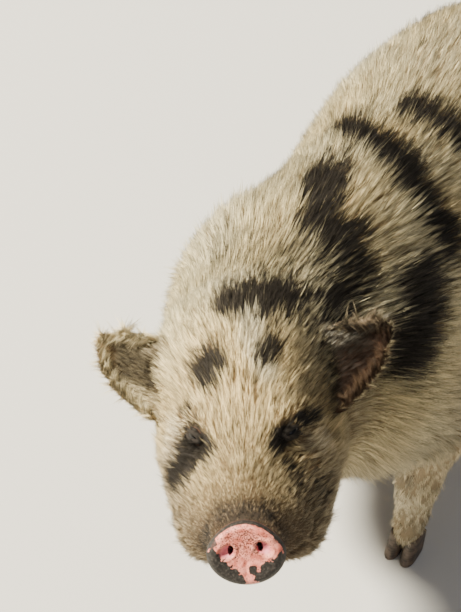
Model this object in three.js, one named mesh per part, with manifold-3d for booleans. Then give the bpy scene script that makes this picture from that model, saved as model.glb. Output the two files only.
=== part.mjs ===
// A spotted, short-nosed farm pig, standing with its head raised and turned to its own left.
// Millimetres, +Z up, nose towards -Y, the pig's own left on +X, feet on the plane z = 0.
// All forms are measured to the tips of the coat.
//
// The body is one smooth field: rounded forms that blend into each other, each placed by its
// anatomical name. The field is turned into closed meshes, and thin cuts part it into head,
// snout, jaw, neck, trunk and legs. Ears, tail, eyes and hooves are shaped on their own.

import * as THREE from "three";
import { mergeVertices } from "three/addons/utils/BufferGeometryUtils.js";
import Module from "manifold-3d";

const wasm = await Module();
wasm.setup();

// ---- Driving dimensions ----

const BACK_HEIGHT = 512; // of the loin and rump; the withers blend to about 25 more
const BELLY_HEIGHT = 158; // lowest line of the belly
const TRUNK_HALF_WIDTH = 180;
const HEAD_WIDTH = 194; // across the cheeks
const FORE_FEET_Y = -235;
const HIND_FEET_Y = 262;
const CUT = 0.3; // width of the cuts between the pieces
const EYE_RADIUS = 12.5;
const TOE = { length: 40, width: 19, height: 34, gap: 3 };
const EAR = { width: 92, thickness: 8 };
const TAIL = { length: 235, root: 17, tip: 6 };

// The head's own frame: origin between the eyes, X forward along the palate, Y to the left, Z up.
const HEAD_PLACE = new THREE.Vector3(40, -492, 408);
const HEAD_YAW = THREE.MathUtils.degToRad(29); // turned to the pig's left
const HEAD_PITCH = THREE.MathUtils.degToRad(6); // nose raised above the level
const HEAD_ROLL = THREE.MathUtils.degToRad(7); // left side higher

// Sizes of the cells, along X, Y and Z, from which each piece's surface is drawn.
const CELL = { trunk: [38, 54, 39], neck: [33, 33, 32], head: [15.3, 15.2, 15.4], snout: [9.8, 10.2, 10] };
const LEG_CELL = [16, 18, 25];

// ---- Fields: signed distance, negative inside ----

/** A rounded form with three radii, turned by an optional rotation about X, in radians. */
function ellipsoid([cx, cy, cz], [rx, ry, rz], { turnX = 0 } = {}) {
  const cos = Math.cos(turnX);
  const sin = Math.sin(turnX);
  return (x, y, z) => {
    const dx = x - cx;
    const ly = cos * (y - cy) + sin * (z - cz);
    const lz = -sin * (y - cy) + cos * (z - cz);
    const near = Math.hypot(dx / rx, ly / ry, lz / rz);
    const slope = Math.hypot(dx / rx ** 2, ly / ry ** 2, lz / rz ** 2);
    return slope === 0 ? -Math.min(rx, ry, rz) : (near * (near - 1)) / slope;
  };
}

/** A limb that narrows from radius ra at point a to radius rb at point b. */
function limb([ax, ay, az], ra, [bx, by, bz], rb) {
  const [vx, vy, vz] = [bx - ax, by - ay, bz - az];
  const length2 = vx * vx + vy * vy + vz * vz;
  return (x, y, z) => {
    const along = ((x - ax) * vx + (y - ay) * vy + (z - az) * vz) / length2;
    const t = Math.min(1, Math.max(0, along));
    return Math.hypot(x - ax - t * vx, y - ay - t * vy, z - az - t * vz) - ra - t * (rb - ra);
  };
}

/** A round-edged disc that faces along X and leans back by a tilt about Y. */
function puck({ at: [cx, cy, cz], halfWidth, halfHeight, halfDepth, edge, lean }) {
  const cos = Math.cos(lean);
  const sin = Math.sin(lean);
  return (x, y, z) => {
    const lx = cos * (x - cx) + sin * (z - cz);
    const lz = -sin * (x - cx) + cos * (z - cz);
    const round = Math.hypot((y - cy) / halfWidth, lz / halfHeight);
    const side = (round - 1) * Math.min(halfWidth, halfHeight) + edge;
    const face = Math.abs(lx) - halfDepth + edge;
    const outside = Math.hypot(Math.max(side, 0), Math.max(face, 0));
    return outside + Math.min(0, Math.max(side, face)) - edge;
  };
}

/** Joins two distances with a fillet of size k. */
function blend(a, b, k) {
  const h = Math.max(k - Math.abs(a - b), 0) / k;
  return Math.min(a, b) - (h * h * k) / 4;
}

/** Joins forms, each given as [field, fillet], one after another. */
function joined(forms) {
  return (x, y, z) => {
    let sum = 1e3;
    for (const [form, fillet] of forms) sum = blend(sum, form(x, y, z), fillet);
    return sum;
  };
}

/** Presses hollows, each given as [field, fillet], into a field. */
function hollowed(field, hollows) {
  return (x, y, z) => {
    let sum = field(x, y, z);
    for (const [form, fillet] of hollows) sum = -blend(-sum, form(x, y, z), fillet);
    return sum;
  };
}

/** The same form on both sides: make is called with side 1 for left and -1 for right. */
function bothSides(make) {
  return [make(1), make(-1)];
}

// ---- Head, in the head's own frame ----

const CHEEK = HEAD_WIDTH / 2;
const DISC = {
  at: [137, 3, -15.5],
  halfWidth: 37.5,
  halfHeight: 31,
  halfDepth: 11.5,
  edge: 8.5,
  lean: 0.5,
};
const NOSTRIL = { aside: 17, rise: 4.5, leftHigher: 1.2, radius: 5.4, endRadius: 3.2 };

const headForm = joined([
  [ellipsoid([-40, 0, 36], [70, 66, 60]), 1], // braincase
  [ellipsoid([-72, 0, 60], [46, 60, 48]), 30], // poll
  [limb([8, 0, 14], 44, [104, 0, -9], 29), 26], // bridge of the nose
  [ellipsoid([70, 0, -26], [66, 46, 37]), 26], // muzzle
  ...bothSides((side) => [ellipsoid([6, side * 34, 36], [34, 26, 25]), 16]), // brows
  ...bothSides((side) => [ellipsoid([-8, side * (CHEEK - 46), -22], [68, 45, 56]), 30]), // cheeks
  ...bothSides((side) => [ellipsoid([-46, side * (CHEEK - 46), -52], [56, 43, 50]), 30]), // jowls
  ...bothSides((side) => [ellipsoid([60, side * 34, -28], [48, 27, 32]), 22]), // lips
  ...bothSides((side) => [ellipsoid([44, side * 43, -59], [62, 38, 38]), 26]), // jaw flesh
  [limb([-30, 0, -66], 42, [100, 0, -51], 24), 26], // lower jaw
  [ellipsoid([-88, 0, -24], [56, 72, 80]), 40], // throat
]);
const headWithEyePits = hollowed(headForm, [
  ...bothSides((side) => [ellipsoid([36, side * 56, 34], [15, 13, 12]), 14]),
  ...bothSides((side) => [limb([46, side * 56, 20], 4, [66, side * 58, 2], 2), 12]), // tear folds
]);
const headField = joined([
  [headWithEyePits, 1],
  [puck(DISC), 11], // nose disc
]);

const headToBody = new THREE.Matrix4()
  .makeTranslation(HEAD_PLACE)
  .multiply(new THREE.Matrix4().makeRotationZ(HEAD_YAW - Math.PI / 2))
  .multiply(new THREE.Matrix4().makeRotationY(-HEAD_PITCH))
  .multiply(new THREE.Matrix4().makeRotationX(HEAD_ROLL));
const bodyToHead = headToBody.clone().invert();

/** A point of the head's frame, in the body's frame. */
function fromHead(x, y, z) {
  return new THREE.Vector3(x, y, z).applyMatrix4(headToBody);
}

/** A field asked through a matrix that takes the asking frame to the field's own. */
function seenThrough(matrix, field) {
  const m = matrix.elements;
  return (x, y, z) =>
    field(
      m[0] * x + m[4] * y + m[8] * z + m[12],
      m[1] * x + m[5] * y + m[9] * z + m[13],
      m[2] * x + m[6] * y + m[10] * z + m[14],
    );
}

// ---- Trunk and neck ----

const RIB_DEPTH = (BACK_HEIGHT - BELLY_HEIGHT) / 2;
const MIDDLE = (BACK_HEIGHT + BELLY_HEIGHT) / 2;

const trunkForms = [
  [ellipsoid([0, -120, MIDDLE + 2], [TRUNK_HALF_WIDTH - 22, 212, RIB_DEPTH - 4]), 1], // ribs
  [ellipsoid([0, 62, MIDDLE - 8], [TRUNK_HALF_WIDTH, 206, RIB_DEPTH - 10]), 70], // belly
  [ellipsoid([0, 84, BACK_HEIGHT - 122], [142, 184, 112]), 70], // loin
  [ellipsoid([0, -200, BACK_HEIGHT - 112], [97, 138, 112]), 60], // withers
  [ellipsoid([0, 214, MIDDLE + 2], [136, 158, 150]), 80], // rump
  [ellipsoid([0, -290, MIDDLE - 38], [104, 108, 118]), 70], // brisket
  ...bothSides((side) => [
    ellipsoid([side * 98, -272, 332], [62, 92, 138], { turnX: -0.12 }), // shoulder
    46,
  ]),
  ...bothSides((side) => [ellipsoid([side * 82, 232, 292], [80, 116, 146]), 46]), // ham
];
const neckBase = [-16, -313, BACK_HEIGHT - 148];
const neckForms = [
  [limb(neckBase, 146, fromHead(-98, -2, 4).toArray(), 103), 60], // neck
  [limb([0, -230, BACK_HEIGHT - 74], 78, fromHead(-82, 0, 54).toArray(), 56), 50], // crest
];

// ---- Legs: each is a chain of limbs, set a little forward or back of its mean place ----

const LEGS = [
  { name: "front_left", side: 1, spread: 130, step: -14, hind: false },
  { name: "front_right", side: -1, spread: 104, step: 18, hind: false },
  { name: "hind_left", side: 1, spread: 106, step: 22, hind: true },
  { name: "hind_right", side: -1, spread: 102, step: -20, hind: true },
];

/** Where the toes of a leg stand, to the side and forward or back. */
function footPlace({ side, spread, step, hind }) {
  return { x: side * spread, y: (hind ? HIND_FEET_Y : FORE_FEET_Y) + step };
}

/** The joints of a leg from the shoulder or hip down to the foot, with the radius at each. */
function legJoints(leg) {
  const { side, step, hind } = leg;
  const { x, y: foot } = footPlace(leg);
  return hind
    ? [
        { at: [side * 86, 236, 300], radius: 74 }, // hip
        { at: [x, 198 + step * 0.3, 212], radius: 52 }, // stifle
        { at: [x, foot + 30, 138], radius: 27 }, // hock
        { at: [x, foot + 13, 66], radius: 22.5 }, // fetlock
        { at: [x, foot, 26], radius: 21.5 }, // coronet
      ]
    : [
        { at: [side * 100, -236, 280], radius: 62 }, // shoulder
        { at: [x, -212 + step * 0.3, 206], radius: 46 }, // elbow
        { at: [x, foot + 8, 122], radius: 28 }, // knee
        { at: [x, foot + 9, 62], radius: 22.5 }, // fetlock
        { at: [x, foot - 4, 26], radius: 21.5 }, // coronet
      ];
}

/** A leg's forms: a limb between each two joints. */
function legForms(leg) {
  const joints = legJoints(leg);
  return joints.slice(1).map((lower, i) => {
    const upper = joints[i];
    return [limb(upper.at, upper.radius, lower.at, lower.radius), i === 0 ? 50 : 14];
  });
}

const posedHead = seenThrough(bodyToHead, headField);
const restOfBody = joined([...trunkForms, ...neckForms, ...LEGS.flatMap(legForms)]);
const bodyField = (x, y, z) => blend(restOfBody(x, y, z), posedHead(x, y, z), 36);
const bodyFieldFromHead = seenThrough(headToBody, bodyField);

// ---- From fields to closed meshes ----

const CORNERS = [0, 1].flatMap((k) => [0, 1].flatMap((j) => [0, 1].map((i) => [i, j, k])));

/** The field cut off at a box, so that its surface is closed. */
function within([low, high], field) {
  return (x, y, z) =>
    Math.max(
      field(x, y, z),
      Math.max(low[0] - x, x - high[0]),
      Math.max(low[1] - y, y - high[1]),
      Math.max(low[2] - z, z - high[2]),
    );
}

/** Draws a point along the field's slope on to its surface. */
function drawnOn(field, start, step) {
  let point = start;
  for (let round = 0; round < 3; round++) {
    const [x, y, z] = point;
    const value = field(x, y, z);
    const slope = [
      (field(x + step, y, z) - field(x - step, y, z)) / (2 * step),
      (field(x, y + step, z) - field(x, y - step, z)) / (2 * step),
      (field(x, y, z + step) - field(x, y, z - step)) / (2 * step),
    ];
    const length2 = slope[0] ** 2 + slope[1] ** 2 + slope[2] ** 2 || 1;
    const move = Math.max(-4 * step, Math.min(4 * step, value / length2));
    point = point.map((p, axis) => p - move * slope[axis]);
  }
  return point;
}

/** The surface of a field inside a box, with one vertex in each cell that it crosses. */
function surfaceOf(openField, box, cell) {
  const field = within(box, openField);
  const count = cell.map((size, axis) => Math.ceil((box[1][axis] - box[0][axis]) / size) + 3);
  const start = cell.map((size, axis) => box[0][axis] - size * 1.013);
  const place = (i, j, k) => [i, j, k].map((n, axis) => start[axis] + n * cell[axis]);
  const index = (i, j, k) => i + count[0] * (j + count[1] * k);
  const everyCell = (margin, visit) => {
    for (let k = 0; k < count[2] - margin; k++)
      for (let j = 0; j < count[1] - margin; j++)
        for (let i = 0; i < count[0] - margin; i++) visit(i, j, k);
  };
  const values = new Float32Array(count[0] * count[1] * count[2]);
  everyCell(0, (i, j, k) => {
    values[index(i, j, k)] = field(...place(i, j, k));
  });

  const positions = [];
  const vertexOf = new Map();
  everyCell(1, (i, j, k) => {
    const value = CORNERS.map(([a, b, c]) => values[index(i + a, j + b, k + c)]);
    const inside = value.filter((v) => v < 0).length;
    if (inside === 0 || inside === 8) return;
    const sum = [0, 0, 0];
    let crossings = 0;
    for (let a = 0; a < 8; a++)
      for (let b = a + 1; b < 8; b++) {
        const apart = CORNERS[a].reduce((n, c, axis) => n + Math.abs(c - CORNERS[b][axis]), 0);
        if (apart !== 1 || value[a] < 0 === value[b] < 0) continue;
        const t = value[a] / (value[a] - value[b]);
        CORNERS[a].forEach((c, axis) => (sum[axis] += c + t * (CORNERS[b][axis] - c)));
        crossings++;
      }
    const corner = place(i, j, k);
    const mean = sum.map((total, axis) => corner[axis] + (total / crossings) * cell[axis]);
    vertexOf.set(index(i, j, k), positions.length / 3);
    positions.push(...drawnOn(field, mean, Math.min(...cell) * 0.06));
  });

  const triangles = [];
  const steps = [index(1, 0, 0), index(0, 1, 0), index(0, 0, 1)];
  everyCell(1, (i, j, k) => {
    const here = index(i, j, k);
    steps.forEach((step, axis) => {
      const [u, v] = [steps[(axis + 1) % 3], steps[(axis + 2) % 3]];
      const crosses = values[here] < 0 !== values[here + step] < 0;
      if (!crosses || [i, j, k].some((n, other) => other !== axis && n === 0)) return;
      const ring = [here, here - u, here - u - v, here - v].map((c) => vertexOf.get(c));
      if (values[here] < 0) ring.reverse();
      triangles.push(ring[0], ring[2], ring[1], ring[0], ring[3], ring[2]);
    });
  });
  const geometry = new THREE.BufferGeometry();
  geometry.setAttribute("position", new THREE.Float32BufferAttribute(positions, 3));
  geometry.setIndex(triangles);
  return geometry;
}

/** A geometry from a list of points and a list of faces with three or more corners. */
function facesOver(points, faces) {
  const geometry = new THREE.BufferGeometry();
  const flat = points.flatMap((p) => p.toArray());
  const triangles = faces.flatMap((f) => f.slice(2).flatMap((c, i) => [f[0], f[i + 1], c]));
  geometry.setAttribute("position", new THREE.Float32BufferAttribute(flat, 3));
  geometry.setIndex(triangles);
  return geometry;
}

/** A closed skin round a row of rings, ended by a point inside each end ring. */
function tube(rings, firstEnd, lastEnd) {
  const around = rings[0].length;
  const points = [...rings.flat(), firstEnd, lastEnd];
  const lastRing = (rings.length - 1) * around;
  const faces = [];
  for (let i = 0; i < around; i++) {
    const next = (i + 1) % around;
    faces.push([points.length - 2, next, i]);
    faces.push([points.length - 1, lastRing + i, lastRing + next]);
    for (let row = 0; row < lastRing; row += around)
      faces.push([row + i, row + next, row + around + next, row + around + i]);
  }
  return facesOver(points, faces);
}

/** A closed plate between two grids of points, its front and its back, joined at their rims. */
function plate(front, back) {
  const [rows, columns] = [front.length, front[0].length];
  const at = (row, column) => row * columns + column;
  const behind = rows * columns;
  const faces = [];
  for (let row = 0; row + 1 < rows; row++)
    for (let column = 0; column + 1 < columns; column++) {
      const quad = [
        at(row, column),
        at(row, column + 1),
        at(row + 1, column + 1),
        at(row + 1, column),
      ];
      faces.push(quad, quad.map((corner) => corner + behind).reverse());
    }
  const rim = [];
  for (let column = 0; column + 1 < columns; column++) rim.push(at(0, column));
  for (let row = 0; row + 1 < rows; row++) rim.push(at(row, columns - 1));
  for (let column = columns - 1; column > 0; column--) rim.push(at(rows - 1, column));
  for (let row = rows - 1; row > 0; row--) rim.push(at(row, 0));
  rim.forEach((corner, i) => {
    const next = rim[(i + 1) % rim.length];
    faces.push([next, corner, corner + behind, next + behind]);
  });
  return facesOver([...front.flat(), ...back.flat()], faces);
}

// ---- Solids: manifold-3d cuts and joins closed meshes ----

/** A closed geometry, moved by an optional matrix, as a solid that can be cut. */
function solid(geometry, matrix = new THREE.Matrix4()) {
  const bare = geometry.clone().applyMatrix4(matrix);
  bare.deleteAttribute("normal");
  bare.deleteAttribute("uv");
  const merged = mergeVertices(bare, 1e-3);
  return new wasm.Manifold(
    new wasm.Mesh({
      numProp: 3,
      vertProperties: new Float32Array(merged.attributes.position.array),
      triVerts: new Uint32Array(merged.index.array),
    }),
  );
}

/** The largest body of a solid, as a geometry whose shortest edges are closed up. */
function geometryOf(made) {
  const bodies = made.decompose().sort((a, b) => b.volume() - a.volume());
  const mesh = bodies[0].getMesh();
  const rough = new THREE.BufferGeometry();
  rough.setAttribute("position", new THREE.Float32BufferAttribute(mesh.vertProperties, 3));
  rough.setIndex(Array.from(mesh.triVerts));
  const geometry = mergeVertices(rough, 0.02);
  const corners = geometry.index.array;
  const kept = [];
  for (let i = 0; i < corners.length; i += 3) {
    const [a, b, c] = corners.slice(i, i + 3);
    if (a !== b && b !== c && c !== a) kept.push(a, b, c);
  }
  geometry.setIndex(kept);
  geometry.computeVertexNormals();
  return geometry;
}

/** A great block that fills the normal's side of a plane, from a distance off the plane. */
function blockBeyond({ point, normal }, distance = 0) {
  const side = 1600;
  const out = normal.clone().normalize();
  const turn = new THREE.Quaternion().setFromUnitVectors(new THREE.Vector3(0, 0, 1), out);
  const centre = point.clone().addScaledVector(out, side / 2 + distance);
  const matrix = new THREE.Matrix4().compose(centre, turn, new THREE.Vector3(1, 1, 1));
  return solid(new THREE.BoxGeometry(side, side, side), matrix);
}

/** The part of a solid on the normal's side of a plane, half a cut away from it. */
function beyond(made, plane) {
  return made.intersect(blockBeyond(plane, CUT / 2));
}

/** The part of a solid on the other side of a plane, half a cut away from it. */
function before(made, { point, normal }) {
  return beyond(made, { point, normal: normal.clone().negate() });
}

// ---- Cutting planes ----

/** A direction of the head's frame, in the body's frame. */
function headDirection(x, y, z) {
  return new THREE.Vector3(x, y, z).transformDirection(headToBody);
}

const headCut = { point: fromHead(-84, 0, 0), normal: headDirection(1, 0, 0.3) };
const snoutCut = { point: fromHead(86, 0, 0), normal: headDirection(1, 0, 0) };
const mouthCut = { point: fromHead(86, 0, -42), normal: headDirection(-0.12, 0, -1) };
const jawBackCut = { point: fromHead(4, 0, -60), normal: headDirection(1, 0, -0.5) };
const neckCut = {
  point: new THREE.Vector3(12, -330, 380),
  normal: new THREE.Vector3(Math.sin(HEAD_YAW / 2), -Math.cos(HEAD_YAW / 2), 0.12),
};

/** The space of one leg: an arch seen from the side, inside a plane that rises outwards. */
function legSpace(leg, margin) {
  const { side, step, hind } = leg;
  const halfLength = (hind ? 96 : 72) + margin;
  const springing = hind ? 150 : 140;
  const rise = (hind ? 96 : 92) + margin;
  const arch = new THREE.Shape();
  arch.moveTo(-halfLength, -40);
  arch.lineTo(halfLength, -40);
  arch.absellipse(0, springing, halfLength, rise, 0, Math.PI, false);
  arch.closePath();
  const block = new THREE.ExtrudeGeometry(arch, { depth: 220, bevelEnabled: false, curveSegments: 7 });
  const place = new THREE.Matrix4()
    .makeTranslation(side > 0 ? 10 : -230, (hind ? 240 : -226) + step * 0.7, 0)
    .multiply(new THREE.Matrix4().makeRotationZ(Math.PI / 2))
    .multiply(new THREE.Matrix4().makeRotationX(Math.PI / 2));
  const plane = {
    point: new THREE.Vector3(side * 104, 0, hind ? 214 : 208),
    normal: new THREE.Vector3(side * 0.75, 0, -1),
  };
  return solid(block, place).intersect(blockBeyond(plane, -margin));
}

// ---- Pieces ----

const model = new THREE.Group();

const materials = {
  coat: new THREE.MeshStandardMaterial({ color: 0xd8cbb0, roughness: 0.85, metalness: 0 }),
  snout: new THREE.MeshStandardMaterial({ color: 0xd7998e, roughness: 0.55, metalness: 0 }),
  eye: new THREE.MeshStandardMaterial({ color: 0x1c120c, roughness: 0.08, metalness: 0 }),
  hoof: new THREE.MeshStandardMaterial({ color: 0x4a4038, roughness: 0.5, metalness: 0 }),
};

/** Adds a solid to the model as a named mesh. */
function addPiece(name, made, material) {
  const mesh = new THREE.Mesh(geometryOf(made), materials[material]);
  mesh.name = name;
  model.add(mesh);
}

/** An eyeball, sunk into the head, grown by a margin. */
function eyeball(side, margin = 0) {
  const centre = fromHead(27, side * 45, 32);
  const ball = new THREE.SphereGeometry(EYE_RADIUS + margin, 10, 7);
  return solid(ball, new THREE.Matrix4().makeTranslation(centre));
}

/** A blind nostril that opens on the nose disc and runs back and outwards. */
function nostril(side) {
  const disc = new THREE.Matrix4()
    .makeTranslation(...DISC.at)
    .multiply(new THREE.Matrix4().makeRotationY(-DISC.lean));
  const rise = NOSTRIL.rise + side * NOSTRIL.leftHigher;
  const open = new THREE.Vector3(DISC.halfDepth + 4, side * NOSTRIL.aside, rise).applyMatrix4(disc);
  const end = new THREE.Vector3(-DISC.halfDepth, side * (NOSTRIL.aside + 3), rise).applyMatrix4(disc);
  const along = open.clone().sub(end).normalize();
  const turn = new THREE.Quaternion().setFromUnitVectors(new THREE.Vector3(0, 1, 0), along);
  const middle = open.clone().add(end).multiplyScalar(0.5);
  const place = new THREE.Matrix4().compose(middle, turn, new THREE.Vector3(1, 1, 1.25));
  const bore = new THREE.CylinderGeometry(NOSTRIL.radius, NOSTRIL.endRadius, open.distanceTo(end), 8);
  return solid(bore, headToBody.clone().multiply(place));
}

/** The body's surface inside a box of the head's frame. */
function headSurface(box, cell) {
  return solid(surfaceOf(bodyFieldFromHead, box, cell), headToBody);
}

function addHead() {
  const box = [
    [-150, -125, -125],
    [100, 125, 135],
  ];
  const jawSpace = blockBeyond(mouthCut, -CUT / 2).intersect(blockBeyond(jawBackCut, -CUT / 2));
  const whole = before(beyond(headSurface(box, CELL.head), headCut), snoutCut);
  const sunk = [eyeball(1, CUT), eyeball(-1, CUT), ear(1, 2 * CUT), ear(-1, 2 * CUT)];
  addPiece("head", sunk.reduce((rest, part) => rest.subtract(part), whole.subtract(jawSpace)), "coat");
  addPiece("eye_left", eyeball(1), "eye");
  addPiece("eye_right", eyeball(-1), "eye");
  addPiece("ear_left", ear(1), "coat");
  addPiece("ear_right", ear(-1), "coat");
}

function addJaw() {
  const box = [
    [-60, -110, -120],
    [160, 110, -20],
  ];
  addPiece("jaw_lower", beyond(beyond(headSurface(box, CELL.head), mouthCut), jawBackCut), "coat");
}

function addSnout() {
  const box = [
    [76, -62, -66],
    [160, 62, 46],
  ];
  const snout = before(beyond(headSurface(box, CELL.snout), snoutCut), mouthCut);
  addPiece("snout", snout.subtract(nostril(1)).subtract(nostril(-1)), "snout");
}

function addNeck() {
  const box = [
    [-170, -560, 200],
    [200, -200, 580],
  ];
  const whole = solid(surfaceOf(bodyField, box, CELL.neck));
  addPiece("neck", beyond(before(whole, headCut), neckCut), "coat");
}

function addTrunk() {
  const box = [
    [-200, -460, 120],
    [200, 460, 580],
  ];
  const whole = before(solid(surfaceOf(bodyField, box, CELL.trunk)), neckCut);
  const trunk = LEGS.reduce((rest, leg) => rest.subtract(legSpace(leg, CUT / 2)), whole);
  addPiece("trunk", trunk.subtract(tail(2 * CUT)), "coat");
}

function addLeg(leg) {
  const middle = (leg.hind ? 240 : -226) + leg.step * 0.7;
  const box = [
    [leg.side > 0 ? 0 : -220, middle - 116, 14],
    [leg.side > 0 ? 220 : 0, middle + 116, 300],
  ];
  const whole = solid(surfaceOf(bodyField, box, LEG_CELL));
  const ankle = {
    point: new THREE.Vector3(0, 0, TOE.height + CUT / 2),
    normal: new THREE.Vector3(0, 0, 1),
  };
  const cut = beyond(whole.intersect(legSpace(leg, -CUT / 2)), ankle);
  const claws = dewclaw(leg, true, CUT).add(dewclaw(leg, false, CUT));
  addPiece(`leg_${leg.name}`, cut.subtract(claws), "coat");
}

/** One toe's hoof, with a flat sole on z = 0 and a rounded tip. */
function hoof(leg, inner) {
  const { length, width, height, gap } = TOE;
  const shape = new THREE.Shape();
  shape.moveTo(-width / 2, length * 0.42);
  shape.lineTo(width / 2, length * 0.42);
  shape.lineTo(width / 2, -length * 0.15);
  shape.quadraticCurveTo(width / 2, -length * 0.55, 0, -length * 0.58);
  shape.quadraticCurveTo(-width / 2, -length * 0.55, -width / 2, -length * 0.15);
  shape.closePath();
  const block = new THREE.ExtrudeGeometry(shape, { depth: height, bevelEnabled: false, curveSegments: 4 });
  const points = block.attributes.position;
  for (let i = 0; i < points.count; i++) {
    const rise = points.getZ(i) / height;
    points.setY(i, points.getY(i) * (1 - 0.2 * rise) + 9 * rise);
    points.setX(i, points.getX(i) * (1 - 0.06 * rise));
  }
  const { x, y } = footPlace(leg);
  const aside = (inner ? -1 : 1) * leg.side * ((width + gap) / 2);
  return solid(block, new THREE.Matrix4().makeTranslation(x + aside, y - 6, 0));
}

/** A dewclaw: a small cone that points down behind the fetlock. */
function dewclaw(leg, inner, margin = 0) {
  const cone = new THREE.ConeGeometry(7 + margin, 22 + 2 * margin, 7);
  const { x, y } = footPlace(leg);
  const place = new THREE.Matrix4()
    .makeTranslation(x + (inner ? -1 : 1) * leg.side * 13, y + 27, 45)
    .multiply(new THREE.Matrix4().makeRotationX(-Math.PI / 2 + 0.5));
  return solid(cone, place);
}

function addFoot(leg) {
  addPiece(`hoof_${leg.name}_outer`, hoof(leg, false), "hoof");
  addPiece(`hoof_${leg.name}_inner`, hoof(leg, true), "hoof");
  addPiece(`dewclaw_${leg.name}_outer`, dewclaw(leg, false), "hoof");
  addPiece(`dewclaw_${leg.name}_inner`, dewclaw(leg, true), "hoof");
}

/** An ear: a cupped leaf from its base line on the head to its tip, grown by a margin. */
function ear(side, margin = 0) {
  const front = new THREE.Vector3(-10, side * 76, 18);
  const back = new THREE.Vector3(-70, side * 62, 80);
  const tip = new THREE.Vector3(-58, side * 150, 84);
  const base = front.clone().add(back).multiplyScalar(0.5);
  const across = front.clone().sub(back).normalize();
  const out = tip.clone().sub(base);
  const facing = new THREE.Vector3().crossVectors(across, out).normalize().multiplyScalar(side);
  const rows = 10;
  const columns = 7;
  const grid = (face) =>
    Array.from({ length: rows }, (_, row) => {
      const along = row / (rows - 1);
      const reach = -0.16 + 1.14 * along + ((2 * along - 1) * margin) / out.length();
      const half = (EAR.width / 2) * Math.sqrt(1.03 - along ** 2.6) * (1 - 0.1 * along);
      const cup = 15 * (1 - along * 0.8);
      const thick = (EAR.thickness / 2) * (1 - 0.45 * along);
      const middle = base
        .clone()
        .addScaledVector(out, reach)
        .addScaledVector(facing, -6 * along)
        .addScaledVector(across, 38 * along * (1 - along));
      return Array.from({ length: columns }, (_, column) => {
        const t = -1 + (2 * column) / (columns - 1);
        const sideways = t * (half + margin);
        const bowl = cup * (1 - (sideways / half) ** 2);
        const depth = thick * Math.sqrt(1 - t * t * 0.85) + margin;
        return middle
          .clone()
          .addScaledVector(across, sideways)
          .addScaledVector(facing, face * depth - bowl);
      });
    });
  return solid(plate(grid(side), grid(-side)), headToBody);
}

/** The tail: a thin tapering tube that hangs from the rump with a slight curl. */
function tail(margin = 0) {
  const root = new THREE.Vector3(0, 346, 392);
  const down = TAIL.length;
  const line = new THREE.CatmullRomCurve3([
    root,
    root.clone().add(new THREE.Vector3(2, 42, -down * 0.12)),
    root.clone().add(new THREE.Vector3(6, 62, -down * 0.42)),
    root.clone().add(new THREE.Vector3(16, 52, -down * 0.74)),
    root.clone().add(new THREE.Vector3(12, 66, -down)),
  ]);
  const rings = [];
  const frames = line.computeFrenetFrames(14, false);
  for (let row = 0; row <= 14; row++) {
    const along = row / 14;
    const centre = line.getPointAt(along);
    const radius = THREE.MathUtils.lerp(TAIL.root, TAIL.tip, Math.sqrt(along)) + margin;
    const ring = [];
    for (let i = 0; i < 8; i++) {
      const angle = (i / 8) * Math.PI * 2;
      ring.push(
        centre
          .clone()
          .addScaledVector(frames.normals[row], radius * Math.cos(angle))
          .addScaledVector(frames.binormals[row], radius * Math.sin(angle)),
      );
    }
    rings.push(ring);
  }
  return solid(tube(rings, line.getPointAt(0), line.getPointAt(1)));
}

addHead();
addJaw();
addSnout();
addNeck();
addTrunk();
LEGS.forEach(addLeg);
LEGS.forEach(addFoot);
addPiece("tail", tail(), "coat");

// The part's origin lies on the floor, under the middle of its outline.
const middle = new THREE.Box3().setFromObject(model, true).getCenter(new THREE.Vector3());
model.position.set(-middle.x, -middle.y, 0);

export default model;
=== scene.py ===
"""A still, life-size spotted pig: one skin, a coat of bristles, glossy eyes and dark hooves.

Everything is in the row's frame: metres, +Z up, nose towards -Y, the pig's own left on +X.
The head has a frame of its own: origin between the eyes, X forward, Y to the left, Z up.
"""

import logging
import math
from collections.abc import Callable, Iterable, Iterator
from contextlib import contextmanager
from dataclasses import dataclass
from enum import Enum

import bmesh
import bpy
import numpy as np
from mathutils import Matrix, Vector, noise
from mathutils.bvhtree import BVHTree


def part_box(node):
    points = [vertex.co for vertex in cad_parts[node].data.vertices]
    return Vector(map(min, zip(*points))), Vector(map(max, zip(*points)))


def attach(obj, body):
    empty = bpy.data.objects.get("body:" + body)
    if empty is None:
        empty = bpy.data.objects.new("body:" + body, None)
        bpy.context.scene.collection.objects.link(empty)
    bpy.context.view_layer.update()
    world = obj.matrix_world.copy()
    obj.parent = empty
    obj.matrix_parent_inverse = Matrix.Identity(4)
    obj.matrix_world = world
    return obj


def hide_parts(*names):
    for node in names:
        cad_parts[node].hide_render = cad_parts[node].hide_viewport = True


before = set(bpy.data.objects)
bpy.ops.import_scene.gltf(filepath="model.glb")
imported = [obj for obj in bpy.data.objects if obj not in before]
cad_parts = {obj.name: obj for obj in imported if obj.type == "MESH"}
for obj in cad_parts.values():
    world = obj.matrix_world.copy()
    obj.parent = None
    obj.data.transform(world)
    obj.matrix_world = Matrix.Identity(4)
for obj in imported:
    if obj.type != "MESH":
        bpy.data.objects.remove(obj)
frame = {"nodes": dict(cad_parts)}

logging.basicConfig(level=logging.INFO, format="%(name)s: %(message)s")
log = logging.getLogger("pig")

Array = np.ndarray
Point = tuple[float, float, float]
MM = 0.001
SIDES = (1, -1)  # the left and the right of the body


# ---- Parts and their hair ----


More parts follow.
